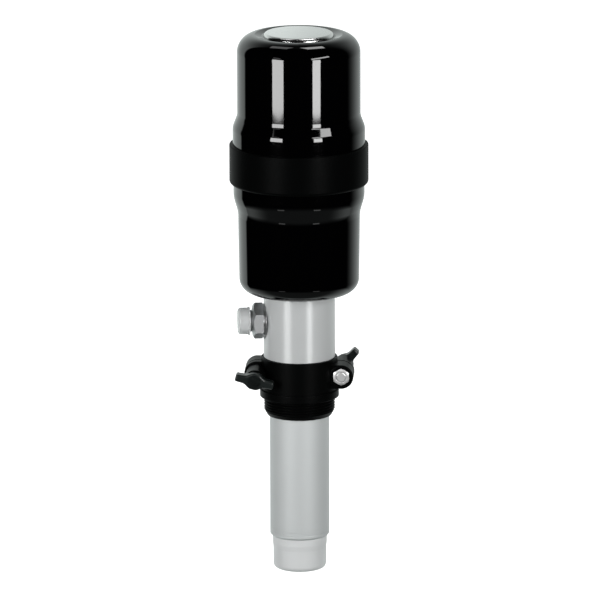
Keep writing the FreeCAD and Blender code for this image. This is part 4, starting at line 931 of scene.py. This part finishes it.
def surround(scene):
    """White to the camera; light walls behind, a dim table and a dark front to the surfaces."""
    world = bpy.data.worlds.new("surround")
    scene.world = world
    world.use_nodes = True
    tree = world.node_tree
    tree.nodes.clear()
    direction = tree.nodes.new("ShaderNodeTexCoord").outputs["Generated"]
    parts = add_node(tree, "ShaderNodeSeparateXYZ", None, i0=direction)
    east, north, up = parts.outputs
    forward = -level_direction(0.0)
    towards = math_node(tree, "ADD", math_node(tree, "MULTIPLY", east, forward.x),
                        math_node(tree, "MULTIPLY", north, forward.y))
    level = math_node(tree, "SQRT", math_node(tree, "ADD", math_node(tree, "POWER", east, 2.0),
                                              math_node(tree, "POWER", north, 2.0)))
    share = math_node(tree, "DIVIDE", towards, math_node(tree, "MAXIMUM", level, 0.001))
    across = level_direction(math.pi / 2)
    rightward = math_node(tree, "ADD", math_node(tree, "MULTIPLY", east, across.x),
                          math_node(tree, "MULTIPLY", north, across.y))
    on_right = math_node(tree, "GREATER_THAN", rightward, 0.0)
    on_left = math_node(tree, "SUBTRACT", 1.0, on_right)
    left_wall = math_node(tree, "MULTIPLY", on_left, fade(tree, share, 0.47, 0.55, 0.0, 1.0))
    right_wall = math_node(tree, "MULTIPLY", on_right, fade(tree, share, 0.20, 0.80, 0.0, 0.75))
    walls = math_node(tree, "MULTIPLY", math_node(tree, "ADD", left_wall, right_wall),
                      fade(tree, up, 0.28, 0.92, 1.0, 0.04))
    table = math_node(tree, "MULTIPLY", fade(tree, up, -0.38, -0.60, 0.0, 1.0),
                      fade(tree, share, -0.45, 0.55, 0.12, 0.9))
    light = math_node(tree, "MAXIMUM", walls, table)
    seen = tree.nodes.new("ShaderNodeLightPath").outputs["Is Camera Ray"]
    strength = math_node(tree, "MAXIMUM", light, seen)
    tint = add_node(tree, "ShaderNodeMix", {"data_type": "RGBA"}, i0=seen,
                    i6=SURROUND_TINT, i7=(1, 1, 1, 1))
    paint = add_node(tree, "ShaderNodeBackground", None, Color=tint.outputs[2], Strength=strength)
    output = tree.nodes.new("ShaderNodeOutputWorld")
    tree.links.new(paint.outputs[0], output.inputs["Surface"])


def softbox(name, place, target, width, height, radiance, tilt):
    """A rectangular area light, facing its target and unseen by the camera."""
    deselect()
    bpy.ops.object.light_add(type="AREA", location=place)
    lamp = bpy.context.object
    lamp.name = name
    lamp.data.shape = "RECTANGLE"
    lamp.data.size = width
    lamp.data.size_y = height
    lamp.data.energy = radiance * math.pi * width * height
    facing = (target - place).to_track_quat("-Z", "Y").to_matrix()
    lamp.rotation_euler = (facing @ Matrix.Rotation(math.radians(tilt), 3, "Z")).to_euler()
    lamp.visible_camera = False
    return lamp


def upright(name, turn, reach, low, high, width, radiance, tilt, in_reflections):
    """A softbox standing upright round the pump."""
    level = Vector((0, 0, (low + high) / 2))
    place = level + level_direction(math.radians(turn)) * reach
    lamp = softbox(name, place, level, width, high - low, radiance, tilt)
    lamp.visible_glossy = in_reflections


def overhead(name, aside, back, radiance):
    """A softbox over the crown, turned to it."""
    over = CROWN - level_direction(0.0) * back + level_direction(math.pi / 2) * aside
    place = over + Vector((0, 0, OVERHEAD_CLEARANCE))
    softbox(name, place, CROWN, OVERHEAD_WIDTH, OVERHEAD_LENGTH, radiance, 0.0)


class PUMP_OT_stage(PumpOperator):
    """Sets the white floor, the surround, the soft lights and the camera"""
    bl_idname = "pump.stage"
    bl_label = "Stage"

    def execute(self, context):
        scene = bpy.context.scene
        scene.view_settings.view_transform = "Standard"
        surround(scene)
        deselect()
        bpy.ops.mesh.primitive_plane_add(size=FLOOR_SIZE, location=(0, 0, 0))
        floor = bpy.context.object
        floor.name = "floor"
        bpy.ops.object.mode_set(mode="EDIT")
        bpy.ops.mesh.select_all(action="SELECT")
        bpy.ops.transform.translate(value=(0, 0, FLOOR_HEIGHT))
        bpy.ops.object.mode_set(mode="OBJECT")
        paper = bpy.data.materials.new("floor_white")
        paper.use_nodes = True
        shader = paper.node_tree.nodes["Principled BSDF"]
        shader.inputs["Base Color"].default_value = (1, 1, 1, 1)
        shader.inputs["Emission Color"].default_value = (1, 1, 1, 1)
        shader.inputs["Emission Strength"].default_value = 1.0
        floor.data.materials.append(paper)
        for kind in ("diffuse", "glossy", "transmission", "shadow"):
            setattr(floor, f"visible_{kind}", False)
        for lamp in LAMPS:
            upright(*lamp)
        for lamp in OVERHEADS:
            overhead(*lamp)
        self.camera(scene)
        return {"FINISHED"}

    def camera(self, scene):
        level = level_direction(0.0) * math.cos(ELEVATION)
        back = level + Vector((0, 0, math.sin(ELEVATION)))
        deselect()
        bpy.ops.object.camera_add(location=AIM + back * DISTANCE)
        camera = bpy.context.object
        camera.name = "camera"
        turn = (-back).to_track_quat("-Z", "Y").to_matrix()
        roll = Matrix.Rotation(ROLL, 3, "Z")
        camera.rotation_euler = (turn @ roll).to_euler()
        camera.data.sensor_width = SENSOR
        camera.data.lens = LENS
        camera.data.shift_x = SHIFT_X
        camera.data.clip_end = VIEW_END
        camera.data.dof.use_dof = False
        scene.camera = camera


class PUMP_PT_sidebar(bpy.types.Panel):
    """Lists the pump's settings and operators"""
    bl_idname = "PUMP_PT_sidebar"
    bl_label = "Stub pump"
    bl_space_type = "VIEW_3D"
    bl_region_type = "UI"
    bl_category = "Pump"

    def draw(self, context):
        column = self.layout.column()
        for name in PumpSizes.__annotations__:
            column.prop(context.scene.pump_sizes, name)
        for name in PumpColours.__annotations__:
            column.prop(context.scene.pump_colours, name)
        for operator in OPERATORS:
            column.operator(operator.bl_idname)


OPERATORS = (
    PUMP_OT_upper_cover, PUMP_OT_lower_cover, PUMP_OT_motor_head, PUMP_OT_outlet_body,
    PUMP_OT_outlet_nipple, PUMP_OT_suction_tube, PUMP_OT_thread_caps, PUMP_OT_bung_halves,
    PUMP_OT_clamp_screws, PUMP_OT_frame_finishes, PUMP_OT_stage,
)
CLASSES = (PumpSizes, PumpColours, *OPERATORS, PUMP_PT_sidebar)


def register():
    for item in CLASSES:
        bpy.utils.register_class(item)
    bpy.types.Scene.pump_sizes = bpy.props.PointerProperty(type=PumpSizes)
    bpy.types.Scene.pump_colours = bpy.props.PointerProperty(type=PumpColours)


def unregister():
    del bpy.types.Scene.pump_colours
    del bpy.types.Scene.pump_sizes
    for item in reversed(CLASSES):
        bpy.utils.unregister_class(item)


def main():
    register()
    for operator in OPERATORS:
        group, name = operator.bl_idname.split(".")
        if getattr(getattr(bpy.ops, group), name)() != {"FINISHED"}:
            raise RuntimeError(f"{operator.bl_label} did not finish")
    deselect()


if __name__ == "__main__":
    main()
